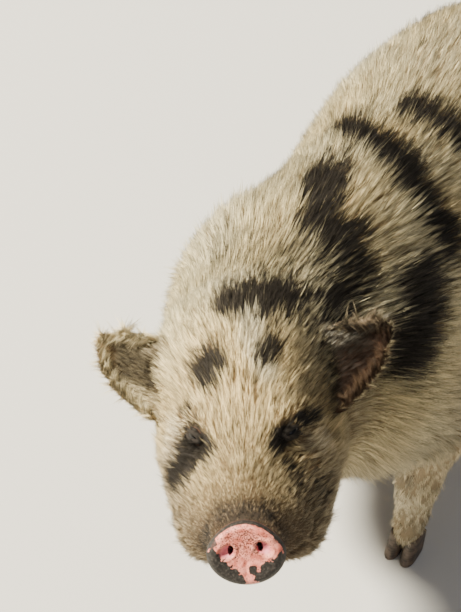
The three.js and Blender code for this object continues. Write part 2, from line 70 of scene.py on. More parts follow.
class Part(Enum):
    """The fleshy parts of the body; each value is the name of a solid."""

    HEAD = "head"
    SNOUT = "snout"
    JAW = "jaw_lower"
    NECK = "neck"
    TRUNK = "trunk"
    TAIL = "tail"
    EAR_LEFT = "ear_left"
    EAR_RIGHT = "ear_right"
    LEG_FRONT_LEFT = "leg_front_left"
    LEG_FRONT_RIGHT = "leg_front_right"
    LEG_HIND_LEFT = "leg_hind_left"
    LEG_HIND_RIGHT = "leg_hind_right"


PARTS = list(Part)
FACE = (Part.HEAD, Part.SNOUT, Part.JAW)
EARS = (Part.EAR_LEFT, Part.EAR_RIGHT)
LEGS = (Part.LEG_FRONT_LEFT, Part.LEG_FRONT_RIGHT, Part.LEG_HIND_LEFT, Part.LEG_HIND_RIGHT)


@dataclass(frozen=True)
class Hair:
    """The hair of one part.

    Attributes:
        depth: From the skin to the tips of the coat, in metres.
        length: Of one bristle, in metres.
        width: Of one bristle, in metres.
        cover: How thickly tufts stand, next to other parts of the same piece.
        evening: How strongly the form below is smoothed, from 0 to 1.
    """

    depth: float
    length: float
    width: float
    cover: float
    evening: float


FACE_HAIR = Hair(0.0036, 0.0150, 0.00040, 1.0, 0.2)
EAR_HAIR = Hair(0.0018, 0.0110, 0.00034, 0.9, 0.05)
LEG_HAIR = Hair(0.0030, 0.0135, 0.00064, 1.0, 0.3)
HAIR: dict[Part, Hair] = {
    Part.HEAD: FACE_HAIR,
    Part.SNOUT: Hair(0.0016, 0.0080, 0.00036, 1.7, 0.08),
    Part.JAW: Hair(0.0038, 0.0150, 0.00046, 0.9, 0.2),
    Part.NECK: Hair(0.0056, 0.0270, 0.00050, 1.0, 0.7),
    Part.TRUNK: Hair(0.0062, 0.0300, 0.00056, 1.0, 1.0),
    Part.TAIL: Hair(0.0025, 0.0150, 0.00070, 1.0, 0.1),
    **{part: EAR_HAIR for part in EARS},
    **{part: LEG_HAIR for part in LEGS},
}


# ---- Sizes ----


@dataclass(frozen=True)
class HeadPose:
    """How the head is held, in degrees, and where the middle of the eyes lies in its frame."""

    yaw: float = 29.0
    pitch: float = 6.0
    roll: float = 7.0
    between_eyes: Point = (0.027, 0.0, 0.032)


@dataclass(frozen=True)
class EyeSizes:
    """One eye: its ball and the opening of its lids. Angles are in radians at the ball's middle."""

    radius: float = 0.0118
    cornea: float = 0.0009
    sunk: float = 0.0042
    lid: float = 0.0017
    half_width: float = 0.56
    upper: float = 0.11
    lower: float = 0.10
    reach: float = 0.62
    outward: Point = (0.66, 0.62, 0.42)
    corner: Point = (-0.52, 0.80, 0.10)
    clearance: float = 0.0006
    gap_depth: float = 0.0035
    crease_at: float = 0.36
    crease_width: float = 0.07
    crease_depth: float = 0.0009


@dataclass(frozen=True)
class DiscSizes:
    """The nose disc in the head's frame, and its two nostrils in the disc's own plane."""

    at: Point = (0.137, 0.003, -0.0155)
    half_width: float = 0.0375
    half_height: float = 0.031
    half_depth: float = 0.0115
    edge: float = 0.0085
    lean: float = 0.5
    nostril_aside: float = 0.0175
    nostril_up: float = 0.0045
    left_higher: float = 0.0012
    narrowing: float = 0.16
    bowl_half: tuple[float, float] = (0.0088, 0.0078)
    bowl_depth: float = 0.0042
    hole_half: tuple[float, float] = (0.0028, 0.0054)
    hole_inward: float = 0.0036
    hole_depth: float = 0.010
    nostril_slant: float = 0.25
    nostril_rim: Point = (1.12, 0.14, 0.0006)  # its place, width and height
    rim: Point = (0.84, 0.10, 0.0009)
    dish_depth: float = 0.0010
    line_width: float = 0.0022
    line_depth: float = 0.0009
    grains: tuple[Point, ...] = ((0.00028, 420.0, 3.0), (0.00045, 150.0, 7.0))  # height, scale, seed
    groove: Point = (-0.0135, 0.0032, 0.0016)


@dataclass(frozen=True)
class SkinSizes:
    """How the skin is drawn from the solids. Lengths in metres."""

    voxel: float = 0.005
    overlap: float = 0.0004
    ear_overlap: float = 0.0022
    rounds: int = 64
    ankle: float = 0.0343
    ankle_drop: float = 0.0075
    eye_plug: float = 0.0112
    nostril_plug: float = 0.0078
    nostril_plug_aside: float = 0.0015
    nostril_plug_depths: tuple[float, float] = (0.004, -0.005)
    near_eye: float = 0.021
    near_mouth: float = 0.007
    near_disc: float = 1.25
    near_lids: float = 0.25


@dataclass(frozen=True)
class FineSkin:
    """Where the skin's mesh is finer: limits in the head's frame, then in the row's, in metres."""

    head_ahead: tuple[float, float] = (-0.095, 0.2)
    head_aside: float = 0.17
    face_ahead: float = -0.002
    face_up: float = -0.070
    ear_aside: float = 0.068
    ear_up: float = 0.015
    feet_below: float = 0.055
    tail_behind: float = 0.480


@dataclass(frozen=True)
class Trim:
    """Where hair is shorter, from its full length to its shortest, in metres, and by how much."""

    muzzle: tuple[float, float] = (0.115, 0.02)
    muzzle_cut: float = 0.45
    by_eyes: tuple[float, float] = (0.014, 0.03)
    feet: tuple[float, float] = (0.16, 0.04)
    feet_cut: float = 0.35
    bare_below: float = 0.029
    rim_more: float = 0.45
    rim_cover: float = 3.4
    rim_rise: float = 1.5


@dataclass(frozen=True)
class Growth:
    """How tufts vary over the skin.

    Attributes:
        wave_scale: Of the slow waves in the lie of the hair.
        wave: How far the waves turn it.
        stray: How far one tuft strays from its neighbours.
        loose: The share of tufts that are longer and stand higher.
        more: How much longer and higher those are.
        spread: The least and most of a tuft's length and width.
        heights: The least and most of its height.
    """

    wave_scale: float = 55.0
    wave: float = 0.45
    stray: float = 0.14
    loose: float = 0.08
    more: float = 0.45
    spread: tuple[float, float] = (0.80, 1.20)
    heights: tuple[float, float] = (0.45, 1.08)


@dataclass(frozen=True)
class CameraSizes:
    """The camera. Angles in degrees, lengths in metres and millimetres of lens."""

    place: Point = (0.5200, -1.1808, 1.5188)
    azimuth: float = 32.075
    elevation: float = 44.825
    lens: float = 85.0
    sensor: float = 36.0


# ---- Markings ----


@dataclass(frozen=True)
class Spot:
    """A soft dark marking round a line of points, in millimetres of the row's frame."""

    line: tuple[Point, ...]
    radius: float
    strength: float = 1.0


SPOTS: dict[str, Spot] = {
    "forehead_right": Spot(((-10, -390, 490), (-5, -380, 495)), 16, 0.93),
    "forehead_left": Spot(((40, -350, 505), (40, -335, 505)), 13, 0.85),
    "eye_left_outer": Spot(((90, -365, 455), (100, -350, 450)), 10, 0.8),
    "crest": Spot(((-10, -310, 520), (5, -300, 520), (15, -285, 515)), 28, 0.87),
    "crown_veil": Spot(((20, -265, 515), (55, -270, 490), (85, -260, 470)), 32, 0.42),
    "neck_veil": Spot(((-10, -215, 525), (-55, -225, 510)), 36, 0.34),
    "neck_side": Spot(((-90, -230, 485),), 18, 0.4),
    "shoulder_top": Spot(((-50, -55, 515), (-35, -100, 520)), 26, 0.5),
    "shoulder": Spot(((-35, -105, 520), (-20, -140, 530), (5, -170, 525)), 28, 0.88),
    "shoulder_mid": Spot(((30, -165, 520), (60, -195, 500)), 30, 0.82),
    "shoulder_front": Spot(((60, -235, 495), (85, -225, 490)), 20, 0.7),
    "shoulder_low": Spot(((115, -140, 465), (130, -200, 425)), 34, 0.9),
    "saddle": Spot(((-80, 25, 485), (-20, -5, 515), (50, -45, 510), (110, -70, 465)), 23, 0.95),
    "back_right": Spot(((-15, 80, 510), (50, 70, 500)), 24, 0.9),
    "flank_left": Spot(((170, 90, 350), (175, 150, 300)), 50, 0.9),
    "loin_left": Spot(((90, 225, 475), (120, 250, 430)), 32, 0.9),
    "rump": Spot(((-30, 395, 455), (20, 420, 440)), 36, 0.95),
    "rump_left": Spot(((130, 390, 330),), 40, 0.85),
    "flank_right": Spot(((-170, 30, 350), (-175, 50, 300)), 42, 0.9),
    "belly_right": Spot(((-150, 190, 240),), 34, 0.8),
    "loin_right": Spot(((-110, 345, 440),), 28, 0.75),
    "ham_right": Spot(((-140, 350, 360), (-150, 330, 300)), 38, 0.9),
    "elbow_right": Spot(((-165, -140, 320),), 28, 0.65),
    "knee_left": Spot(((130, -165, 150),), 18, 0.5),
    "hock_right": Spot(((-105, 400, 130),), 22, 0.5),
    "throat": Spot(((60, -330, 300),), 30, 0.5),
    "tail_tip": Spot(((0, 500, 245),), 45, 0.8),
}

# Dark marks of the face, in millimetres of the head's frame. Those round the eyes are dark fur and painted
# shade of the sunken sockets together.
FACE_SPOTS: dict[str, Spot] = {
    # Dark fur round the left eye, with painted shade of its sunken socket.
    "eye_left": Spot(((40, 40, 35), (35, 55, 40)), 13),
    "eye_left_tear": Spot(((50, 40, 15), (45, 50, 5)), 5, 0.7),
    # Dark fur round the right eye, with painted shade of its sunken socket.
    "eye_right": Spot(((40, -45, 30), (35, -60, 30)), 17),
    "eye_right_tear": Spot(((40, -60, 20), (40, -65, 0), (40, -70, -10)), 15),
    "cheek_left": Spot(((60, 55, -5), (50, 70, -15)), 19, 0.34),
    # Painted shade under the brow, over the right upper lid.
    "lid_right_shade": Spot(((20, -50, 55), (10, -55, 50)), 10, 0.45),
    "muzzle_top": Spot(((110, -20, 10), (115, 0, 15), (110, 25, 10)), 13, 0.42),
    "muzzle_right": Spot(((120, -40, -10), (120, -45, -30)), 13, 0.7),
    "muzzle_left": Spot(((120, 45, -10), (120, 45, -30)), 10, 0.55),
    "chin": Spot(((110, -10, -65), (100, 15, -70)), 14, 0.5),
}

# The pale streak down the forehead, in millimetres of the row's frame.
BLAZE: tuple[Point, ...] = ((10, -330, 520), (25, -355, 505), (50, -370, 490))

# Pigment of the bare disc, in millimetres of the disc's own plane: to the left, up.
DISC_SPOTS: tuple[tuple[float, float, float, float], ...] = (
    (-34, -6, 13, 1.0),
    (-28, -15, 15, 1.0),
    (-16, -25, 14, 1.0),
    (25, -16, 12, 0.95),
    (15, -22, 8, 0.8),
    (6, -15, 5, 0.7),
    (33, -4, 6, 0.7),
    (-31, 12, 6, 0.6),
    (30, 13, 4, 0.5),
    (8, 4, 2.5, 0.5),
)


# ---- Folds of the skin ----


@dataclass(frozen=True)
class Fold:
    """A ridge, or a groove where the height is below 0, along a line of the head's frame.

    The line is in millimetres, and is drawn on to the skin. With both, it is on both sides.
    """

    line: tuple[Point, ...]
    width: float
    height: float
    both: bool = True


FOLDS: dict[str, Fold] = {
    "mouth": Fold(
        ((124, 6, -50), (116, 24, -49), (94, 40, -45), (60, 56, -38), (26, 66, -29)), 2.4, -3.6
    ),
    "upper_lip": Fold(((116, 26, -42), (92, 44, -37), (56, 58, -29)), 5.5, 1.3),
    "lower_lip": Fold(((112, 22, -56), (90, 38, -52), (58, 52, -46)), 5.0, 1.0),
    "brow": Fold(((44, 26, 50), (36, 46, 54), (16, 64, 46)), 8.0, 2.6),
    "brow_crease": Fold(((40, 34, 46), (32, 50, 48), (18, 62, 40)), 2.6, -1.6),
    "under_eye": Fold(((50, 40, 18), (44, 56, 14), (30, 68, 14)), 3.0, -1.8),
    "under_eye_low": Fold(((56, 46, 8), (46, 62, 4), (32, 72, 6)), 3.2, -1.3),
    "tear": Fold(((46, 50, 20), (44, 62, 6), (36, 70, -8)), 2.2, -1.8),
    "nose_fold": Fold(((112, -22, 14), (114, 0, 20), (112, 22, 14)), 2.8, -1.3, False),
    "nose_fold_back": Fold(((101, -24, 14), (102, 0, 20), (101, 24, 14)), 3.0, -0.9, False),
    "bridge_fold": Fold(((88, -22, 18), (89, 0, 24), (88, 22, 18)), 3.4, -0.7, False),
    "furrow": Fold(((34, 0, 56), (6, 0, 78), (-24, 0, 92)), 4.0, -1.1, False),
    "cheek": Fold(((6, 78, 18), (18, 84, -14), (12, 80, -48)), 7.0, -1.8),
    "jowl": Fold(((-44, 92, -4), (-48, 92, -44), (-40, 76, -84)), 9.0, -3.0),
    "muzzle_side": Fold(((104, 44, 8), (98, 50, -12), (94, 48, -30)), 4.0, -1.2),
}


# ---- Arrays over a mesh ----


def smooth_step(value: Array, start: float, end: float) -> Array:
    """Rises softly from 0 at start to 1 at end; with start above end, it falls."""
    t = np.clip((value - start) / (end - start), 0.0, 1.0)
    return t * t * (3.0 - 2.0 * t)


def length_of(vectors: Array) -> Array:
    """The length of each vector."""
    return np.sqrt((vectors * vectors).sum(axis=-1))


def unit(vectors: Array) -> Array:
    """The same vectors, each of length 1."""
    return vectors / np.maximum(length_of(vectors), 1e-9)[..., None]


def from_line(points: Array, line: Array) -> Array:
    """The distance of each point from a line of points.

    Args:
        points: The points, a row each.
        line: The corners of the line, a row each.

    Returns:
        The distance of each point.
    """
    if len(line) == 1:
        return length_of(points - line[0])
    best = np.full(len(points), 1e9)
    for start, end in zip(line[:-1], line[1:]):
        along = end - start
        t = np.clip((points - start) @ along / max(along @ along, 1e-12), 0.0, 1.0)
        best = np.minimum(best, length_of(points - start - t[:, None] * along))
    return best


def speckle(points: Array, scale: float, seed: float) -> Array:
    """Smooth noise from -1 to 1 at each point, the same in every run."""
    shift = Vector((seed, seed * 1.7, -seed))
    return np.array([noise.noise(Vector(p) * scale + shift) for p in points])


def bell(value: Array, middle: float, width: float) -> Array:
    """1 at the middle, falling away softly over a width on both sides."""
    return np.exp(-(((value - middle) / width) ** 2))


def columns(*values: Array | float) -> Array:
    """One row for each point from its coordinates. A number is the same in every row."""
    return np.stack(np.broadcast_arrays(*values), axis=1)


def read(items: bpy.types.bpy_prop_collection, field: str, width: int = 1, kind: type = float) -> Array:
    """Reads one property of every item, as a row where its width is over 1.

    Args:
        items: The items, such as the vertices of a mesh.
        field: The name of the property.
        width: How many numbers each item has.
        kind: The type of the numbers.

    Returns:
        The values, in the order of the items.
    """
    flat = np.empty(len(items) * width, dtype=kind)
    items.foreach_get(field, flat)
    return flat.reshape(-1, width) if width > 1 else flat


class Surface:
    """The points of a mesh as arrays, with the neighbours of each point."""

    def __init__(self, mesh: bpy.types.Mesh) -> None:
        """Reads the points of a mesh and which of them are neighbours.

        Args:
            mesh: The mesh.
        """
        self.mesh = mesh
        self.points = read(mesh.vertices, "co", 3)
        edges = read(mesh.edges, "vertices", 2, int)
        both = np.concatenate([edges, edges[:, ::-1]])
        both = both[np.argsort(both[:, 0], kind="stable")]
        self.near = both[:, 1]
        self.starts = np.searchsorted(both[:, 0], np.arange(len(self.points)))
        self.counts = np.diff(np.append(self.starts, len(both)))[:, None]

    def around(self, values: Array) -> Array:
        """The mean of the values of each point's neighbours."""
        return np.add.reduceat(values[self.near], self.starts, axis=0) / self.counts

    def relaxed(self, values: Array, rounds: int, weight: float | Array = 0.5) -> Array:
        """The values drawn towards their neighbours' mean, some number of times.

        Args:
            values: A value or a row of values for each point.
            rounds: How many times.
            weight: How far each round goes towards the mean.

        Returns:
            The softened values, in the shape of those given.
        """
        flat = values.reshape(len(values), -1)
        for _ in range(rounds):
            flat = flat + weight * (self.around(flat) - flat)
        return flat.reshape(values.shape)

    def normals(self) -> Array:
        """The outward normal at each point, as the mesh now is."""
        self.write()
        return read(self.mesh.vertex_normals, "vector", 3)

    def write(self) -> None:
        """Puts the points back into the mesh."""
        self.mesh.vertices.foreach_set("co", self.points.ravel())
        self.mesh.update()


@contextmanager
def edited(mesh: bpy.types.Mesh) -> Iterator[bmesh.types.BMesh]:
    """Opens a mesh for editing and then puts the result back into it.

    Args:
        mesh: The mesh to edit.

    Yields:
        The open mesh.
    """
    work = bmesh.new()
    work.from_mesh(mesh)
    work.faces.ensure_lookup_table()
    yield work
    work.to_mesh(mesh)
    work.free()


def set_attribute(mesh: bpy.types.Mesh, name: str, values: Array, kind: str = "FLOAT") -> None:
    """Stores values on a mesh's points.

    Args:
        mesh: The mesh.
        name: The attribute's name.
        values: One value or row for each point; a colour's row has three values.
        kind: FLOAT, FLOAT_VECTOR or FLOAT_COLOR.
    """
    layer = mesh.attributes.get(name) or mesh.attributes.new(name, kind, "POINT")
    if kind == "FLOAT_COLOR":
        values = columns(*values.T, 1.0)
    field = {"FLOAT": "value", "FLOAT_VECTOR": "vector", "FLOAT_COLOR": "color"}[kind]
    layer.data.foreach_set(field, np.ascontiguousarray(values, dtype=np.float32).ravel())


def new_object(name: str, mesh: bpy.types.Mesh) -> bpy.types.Object:
    """A new object of a mesh, in the scene, at the origin and unturned.

    Args:
        name: The object's name.
        mesh: Its mesh.

    Returns:
        The object.
    """
    obj = bpy.data.objects.new(name, mesh)
    bpy.context.scene.collection.objects.link(obj)
    return obj


def made_plain(obj: bpy.types.Object) -> None:
    """Turns an object's modifiers into a plain mesh and removes them.

    Args:
        obj: The object, with its modifiers on it.
    """
    evaluated = obj.evaluated_get(bpy.context.evaluated_depsgraph_get())
    mesh = bpy.data.meshes.new_from_object(evaluated)
    obj.modifiers.clear()
    old = obj.data
    obj.data = mesh
    bpy.data.meshes.remove(old)
    mesh.name = obj.name


def remeshed(obj: bpy.types.Object, voxel: float) -> None:
    """Draws an object's mesh again as one shell of even squares.

    Args:
        obj: The object to draw again.
        voxel: The width of a square.
    """
    remesh = obj.modifiers.new("Remesh", "REMESH")
    remesh.mode = "VOXEL"
    remesh.voxel_size = voxel
    made_plain(obj)


def shade_smooth(mesh: bpy.types.Mesh) -> None:
    """Shades every face smoothly."""
    mesh.polygons.foreach_set("use_smooth", np.ones(len(mesh.polygons), dtype=bool))
    mesh.update()


# ---- The head's frame ----


class HeadFrame:
    """Takes points between the row's frame and the head's own."""

    def __init__(self, pose: HeadPose) -> None:
        """Puts the frame between the solids of the two eyes.

        Args:
            pose: How the head is turned, and where it lies between the eyes.
        """
        turn = (
            Matrix.Rotation(math.radians(pose.yaw - 90.0), 3, "Z")
            @ Matrix.Rotation(math.radians(-pose.pitch), 3, "Y")
            @ Matrix.Rotation(math.radians(pose.roll), 3, "X")
        )
        boxes = [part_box(name) for name in ("eye_left", "eye_right")]
        middle = sum((low + high for low, high in boxes), Vector()) / 4.0
        self.turn = np.array(turn)
        self.origin = np.array(middle) - self.turn @ np.array(pose.between_eyes)
        eye = EyeSizes()
        self.eyes = {}
        for side, box in zip(SIDES, boxes):
            middle = np.array(sum(box, Vector()) / 2.0)
            self.eyes[side] = middle - self.facing(mirrored(eye.outward, side)) * eye.sunk

    def local(self, points: Array) -> Array:
        """Points of the row's frame in the head's frame."""
        return (points - self.origin) @ self.turn

    def placed(self, points: Iterable[Point] | Array) -> Array:
        """Points of the head's frame in the row's frame."""
        return np.asarray(points, dtype=float) @ self.turn.T + self.origin

    def facing(self, direction: Point | Array) -> Array:
        """A direction of the head's frame in the row's frame, of length 1."""
        return unit(self.turn @ np.asarray(direction, dtype=float))


def mirrored(point: Point, side: int) -> Array:
    """A point or direction of the left side, taken to the asked side."""
    return np.array((point[0], point[1] * side, point[2]))


class NoseDisc:
    """The form of the nose disc in the head's frame."""

    def __init__(self, sizes: DiscSizes) -> None:
        """Takes the sizes of the disc."""
        self.sizes = sizes

    def plane(self, head_points: Array) -> Array:
        """Points in the disc's own frame: forward, left and up.

        Args:
            head_points: Points in the head's frame.

        Returns:
            The same points, a row each.
        """
        cos, sin = math.cos(self.sizes.lean), math.sin(self.sizes.lean)
        rel = head_points - np.array(self.sizes.at)
        return columns(
            cos * rel[:, 0] + sin * rel[:, 2], rel[:, 1], -sin * rel[:, 0] + cos * rel[:, 2]
        )

    def distance(self, plane_points: Array) -> Array:
        """The signed distance from the disc's form, negative inside.

        Args:
            plane_points: Points in the disc's own frame.

        Returns:
            The distance of each point.
        """
        s = self.sizes
        side = (self.ring(plane_points) - 1.0) * min(s.half_width, s.half_height) + s.edge
        face = np.abs(plane_points[:, 0]) - s.half_depth + s.edge
        outside = np.hypot(np.maximum(side, 0.0), np.maximum(face, 0.0))
        return outside + np.minimum(0.0, np.maximum(side, face)) - s.edge

    def ring(self, plane_points: Array) -> Array:
        """0 in the middle of the disc and 1 on its edge.

        Args:
            plane_points: Points in the disc's own frame.

        Returns:
            How far out each point is, over 1 past the edge.
        """
        s = self.sizes
        half = s.half_width * (1.0 - s.narrowing * smooth_step(plane_points[:, 2], 0.0, s.half_height))
        return np.hypot(plane_points[:, 1] / half, plane_points[:, 2] / s.half_height)

    def nostril_middle(self, side: int) -> Point:
        """The middle of a nostril, in the disc's own frame."""
        s = self.sizes
        return (s.half_depth, side * s.nostril_aside, s.nostril_up + side * s.left_higher)

    def nostril(self, plane_points: Array, side: int) -> tuple[Array, Array]:
        """The bowl of a nostril and the hole at its inner side: 0 in the middle, 1 on the edge.

        Args:
            plane_points: Points in the disc's own frame.
            side: 1 for the left nostril and -1 for the right.

        Returns:
            The two values of each point.
        """
        s = self.sizes
        _, aside, up = self.nostril_middle(side)
        across, rise = (plane_points[:, 1] - aside) * side, plane_points[:, 2] - up
        rise = rise + s.nostril_slant * across
        bowl = np.hypot(across / s.bowl_half[0], rise / s.bowl_half[1])
        hole = np.hypot((across + s.hole_inward) / s.hole_half[0], rise / s.hole_half[1])
        return bowl, hole

    def in_head(self, plane_point: Point) -> Point:
        """A point of the disc's own frame in the head's frame.

        Args:
            plane_point: The point in the disc's own frame.

        Returns:
            The same point in the head's frame.
        """
        cos, sin = math.cos(self.sizes.lean), math.sin(self.sizes.lean)
        x, y, z = plane_point
        at = self.sizes.at
        return (at[0] + cos * x - sin * z, at[1] + y, at[2] + sin * x + cos * z)


# ---- Skin ----


@dataclass
class Skin:
    """The one skin of the body, with what its hair needs to know."""

    obj: bpy.types.Object
    surface: Surface
    shares: Array  # how far each point belongs to each part
    head: Array  # the points in the head's frame


class SkinMaker:
    """Draws one skin from the fleshy solids."""

    def __init__(self, nodes: dict[str, bpy.types.Object], head: HeadFrame) -> None:
        """Gathers the sizes and labels the faces of the solids.

        Args:
            nodes: The solids by name.
            head: The head's frame.
        """
        self.nodes = nodes
        self.head = head
        self.sizes = SkinSizes()
        self.disc = NoseDisc(DiscSizes())
        self.eye = EyeSizes()
        self.fine = FineSkin()
        self.labels_tree, self.labels = self._labelled()

    def _labelled(self) -> tuple[BVHTree, Array]:
        """A tree over all the solids, and the part of each of its faces.

        Returns:
            The tree, and the number of each face's part.
        """
        points: list[Vector] = []
        faces: list[list[int]] = []
        labels: list[int] = []
        for index, part in enumerate(PARTS):
            mesh = self.nodes[part.value].data
            first = len(points)
            points.extend(v.co for v in mesh.vertices)
            faces.extend([first + v for v in p.vertices] for p in mesh.polygons)
            labels.extend([index] * len(mesh.polygons))
        return BVHTree.FromPolygons(points, faces), np.array(labels)

    def _closed_up(self) -> bpy.types.Object:
        """All the solids in one object, each swollen until it overlaps its neighbours.

        Returns:
            The object.
        """
        s = self.sizes
        mesh = bpy.data.meshes.new("pig_skin")
        with edited(mesh) as whole:
            for part in PARTS:
                loose = self.nodes[part.value].data.copy()
                swell = s.ear_overlap if part in EARS else s.overlap
                with edited(loose) as piece:
                    bmesh.ops.remove_doubles(piece, verts=piece.verts, dist=1e-5)
                    piece.normal_update()
                    for vert in piece.verts:
                        vert.co += vert.normal * swell
                whole.from_mesh(loose)
                bpy.data.meshes.remove(loose)
            for side in SIDES:
                self._plug(whole, self.head.eyes[side], s.eye_plug)
                for depth in s.nostril_plug_depths:
                    _, aside, up = self.disc.nostril_middle(side)
                    inner = self.disc.in_head((depth, aside + side * s.nostril_plug_aside, up))
                    self._plug(whole, self.head.placed(inner), s.nostril_plug)
        return new_object("pig_skin", mesh)

    @staticmethod
    def _plug(target: bmesh.types.BMesh, centre: Array, radius: float) -> None:
        """Adds a small ball that fills a hollow.

        Args:
            target: The mesh that takes the ball.
            centre: The middle of the ball.
            radius: The radius of the ball.
        """
        bmesh.ops.create_icosphere(
            target, subdivisions=2, radius=radius, matrix=Matrix.Translation(Vector(centre))
        )

    @staticmethod
    def _keep_largest(mesh: bpy.types.Mesh) -> None:
        """Drops all but the largest connected body of a mesh.

        Args:
            mesh: The mesh to clear.
        """
        with edited(mesh) as work:
            seen: set[int] = set()
            bodies: list[list[bmesh.types.BMVert]] = []
            for vert in work.verts:
                if vert.index in seen:
                    continue
                body = [vert]
                seen.add(vert.index)
                for here in body:
                    fresh = [edge.other_vert(here) for edge in here.link_edges]
                    fresh = [other for other in fresh if other.index not in seen]
                    seen.update(other.index for other in fresh)
                    body.extend(fresh)
                bodies.append(body)
            bodies.sort(key=len, reverse=True)
            for body in bodies[1:]:
                bmesh.ops.delete(work, geom=body, context="VERTS")

    def _shares(self, surface: Surface, rounds: int) -> Array:
        """How far each point belongs to each part, softened over some rounds.

        Args:
            surface: The skin.
            rounds: How many rounds of softening.

        Returns:
            A row for each point, with one share for each part.
        """
        own = np.zeros((len(surface.points), len(PARTS)))
        for index, point in enumerate(surface.points):
            face = self.labels_tree.find_nearest(Vector(point))[2]
            own[index, self.labels[face]] = 1.0
        return surface.relaxed(own, rounds)

    def _evened(self, surface: Surface, shares: Array) -> None:
        """Smooths the flats of the solids away, and gives back what that takes off.

        Args:
            surface: The skin.
            shares: The share of each part at each point.
        """
        weight = 0.5 * (shares @ np.array([HAIR[part].evening for part in PARTS]))[:, None]
        before = surface.points.copy()
        surface.points = surface.relaxed(before, self.sizes.rounds, weight)
        normals = surface.normals()
        lost = ((before - surface.points) * normals).sum(axis=1)[:, None]
        surface.points = surface.points + normals * surface.relaxed(lost, self.sizes.rounds, weight)

    @staticmethod
    def _refined(mesh: bpy.types.Mesh, chosen: Callable[[Array], Array]) -> None:
        """Splits each face whose middle is chosen into four.

        Args:
            mesh: The mesh to refine.
            chosen: Takes the faces' middles and says which of them are to be split.
        """
        picked = np.nonzero(chosen(read(mesh.polygons, "center", 3)))[0]
        with edited(mesh) as work:
            edges = {edge for index in picked for edge in work.faces[index].edges}
            bmesh.ops.subdivide_edges(work, edges=list(edges), cuts=1, use_grid_fill=True)

    def _near_head(self, points: Array) -> Array:
        """Which points are on the head, ears, feet or tail, where the skin is finer.

        Args:
            points: Points in the row's frame.

        Returns:
            True for each point that is there.
        """
        f = self.fine
        ahead, aside, up = self.head.local(points).T
        aside = np.abs(aside)
        on_head = (ahead > f.head_ahead[0]) & (ahead < f.head_ahead[1]) & (aside < f.head_aside)
        front = (ahead > f.face_ahead) & (up > f.face_up)
        ears = (aside > f.ear_aside) & (up > f.ear_up)
        feet, tail = points[:, 2] < f.feet_below, points[:, 1] > f.tail_behind
        return (on_head & (front | ears)) | feet | tail

    def _near_features(self, points: Array) -> Array:
        """Which points are by the disc, the eyes or the mouth.

        Args:
            points: Points in the row's frame.

        Returns:
            True for each point that is there.
        """
        local = self.head.local(points)
        plane = self.disc.plane(local)
        near = (self.disc.ring(plane) < self.sizes.near_disc) & (plane[:, 0] > -0.016)
        for side in SIDES:
            line = np.array([mirrored(p, side) for p in FOLDS["mouth"].line]) * MM
            near |= length_of(points - self.head.eyes[side]) < self.sizes.near_eye
            near |= from_line(local, line) < self.sizes.near_mouth
        return near

    def _near_rims(self, points: Array) -> Array:
        """Which points are by the rims of the lids and of the nostrils.

        Args:
            points: Points in the row's frame.

        Returns:
            True for each point that is there.
        """
        plane = self.disc.plane(self.head.local(points))
        rims = np.zeros(len(points), dtype=bool)
        for side in SIDES:
            bowl = self.disc.nostril(plane, side)[0]
            opening, ahead = self.lid_opening(points, side)
            rims |= (bowl < self.sizes.near_disc) & (plane[:, 0] > 0.0)
            rims |= (opening < self.sizes.near_lids) & ahead
        return rims

    def eye_axes(self, side: int) -> tuple[Array, Array, Array]:
        """The directions out of an eye, to its outer corner and up across its lids.

        Args:
            side: 1 for the left eye and -1 for the right.

        Returns:
            The three directions, each of length 1.
        """
        out = self.head.facing(mirrored(self.eye.outward, side))
        corner = self.head.facing(mirrored(self.eye.corner, side))
        corner = unit(corner - out * (corner @ out))
        up = np.cross(out, corner) * side
        return out, corner, up

    def lid_opening(self, points: Array, side: int) -> tuple[Array, Array]:
        """How far each point is outside the opening of the lids, in radians, and if it is near.

        Args:
            points: Points in the row's frame.
            side: 1 for the left eye and -1 for the right.

        Returns:
            The angle, negative within the opening, and True for each point that is near.
        """
        e = self.eye
        out, corner, up = self.eye_axes(side)
        rel = points - self.head.eyes[side]
        ahead = rel @ out
        across = np.arctan2(rel @ corner, np.maximum(ahead, 1e-6))
        rise = np.arctan2(rel @ up, np.maximum(ahead, 1e-6))
        arch = np.maximum(1.0 - (across / e.half_width) ** 2, 0.0)
        above = rise - e.upper * arch**0.8
        below = -e.lower * arch - rise
        beside = np.maximum(np.abs(across) - e.half_width, 0.0)
        opening = np.maximum(above, below)
        opening = np.where(beside > 0, np.hypot(np.maximum(opening, 0.0), beside), opening)
        near = (ahead > 0.002) & (length_of(rel) < 0.03)
        return opening, near

    def _set_lids(self, surface: Surface) -> None:
        """Draws the skin over each eyeball and opens the lids.

        Args:
            surface: The skin.
        """
        e = self.eye
        for side in SIDES:
            rel = surface.points - self.head.eyes[side]
            radius = length_of(rel)
            opening, near = self.lid_opening(surface.points, side)
            away = np.maximum(opening, 0.0)
            lid = e.radius + e.clearance + e.lid * smooth_step(away, 0.0, 0.14)
            pull = smooth_step(away, e.reach, e.reach * 0.35)
            target = radius * (1.0 - pull) + lid * pull
            target = np.maximum(target, lid * smooth_step(away, 1.1, 0.5))
            sunk = smooth_step(-opening, 0.0, 0.07)
            target = target * (1.0 - sunk) + (e.radius - e.gap_depth) * sunk
            above = smooth_step(rel @ self.eye_axes(side)[2], 0.0, 0.004)
            crease = bell(opening, e.crease_at, e.crease_width) * above
            target = target - e.crease_depth * crease
            moved = self.head.eyes[side] + rel * (target / np.maximum(radius, 1e-6))[:, None]
            surface.points = np.where(near[:, None], moved, surface.points)

    def _in_plane(self, surface: Surface) -> Array:
        """The points of a surface in the disc's own frame."""
        return self.disc.plane(self.head.local(surface.points))

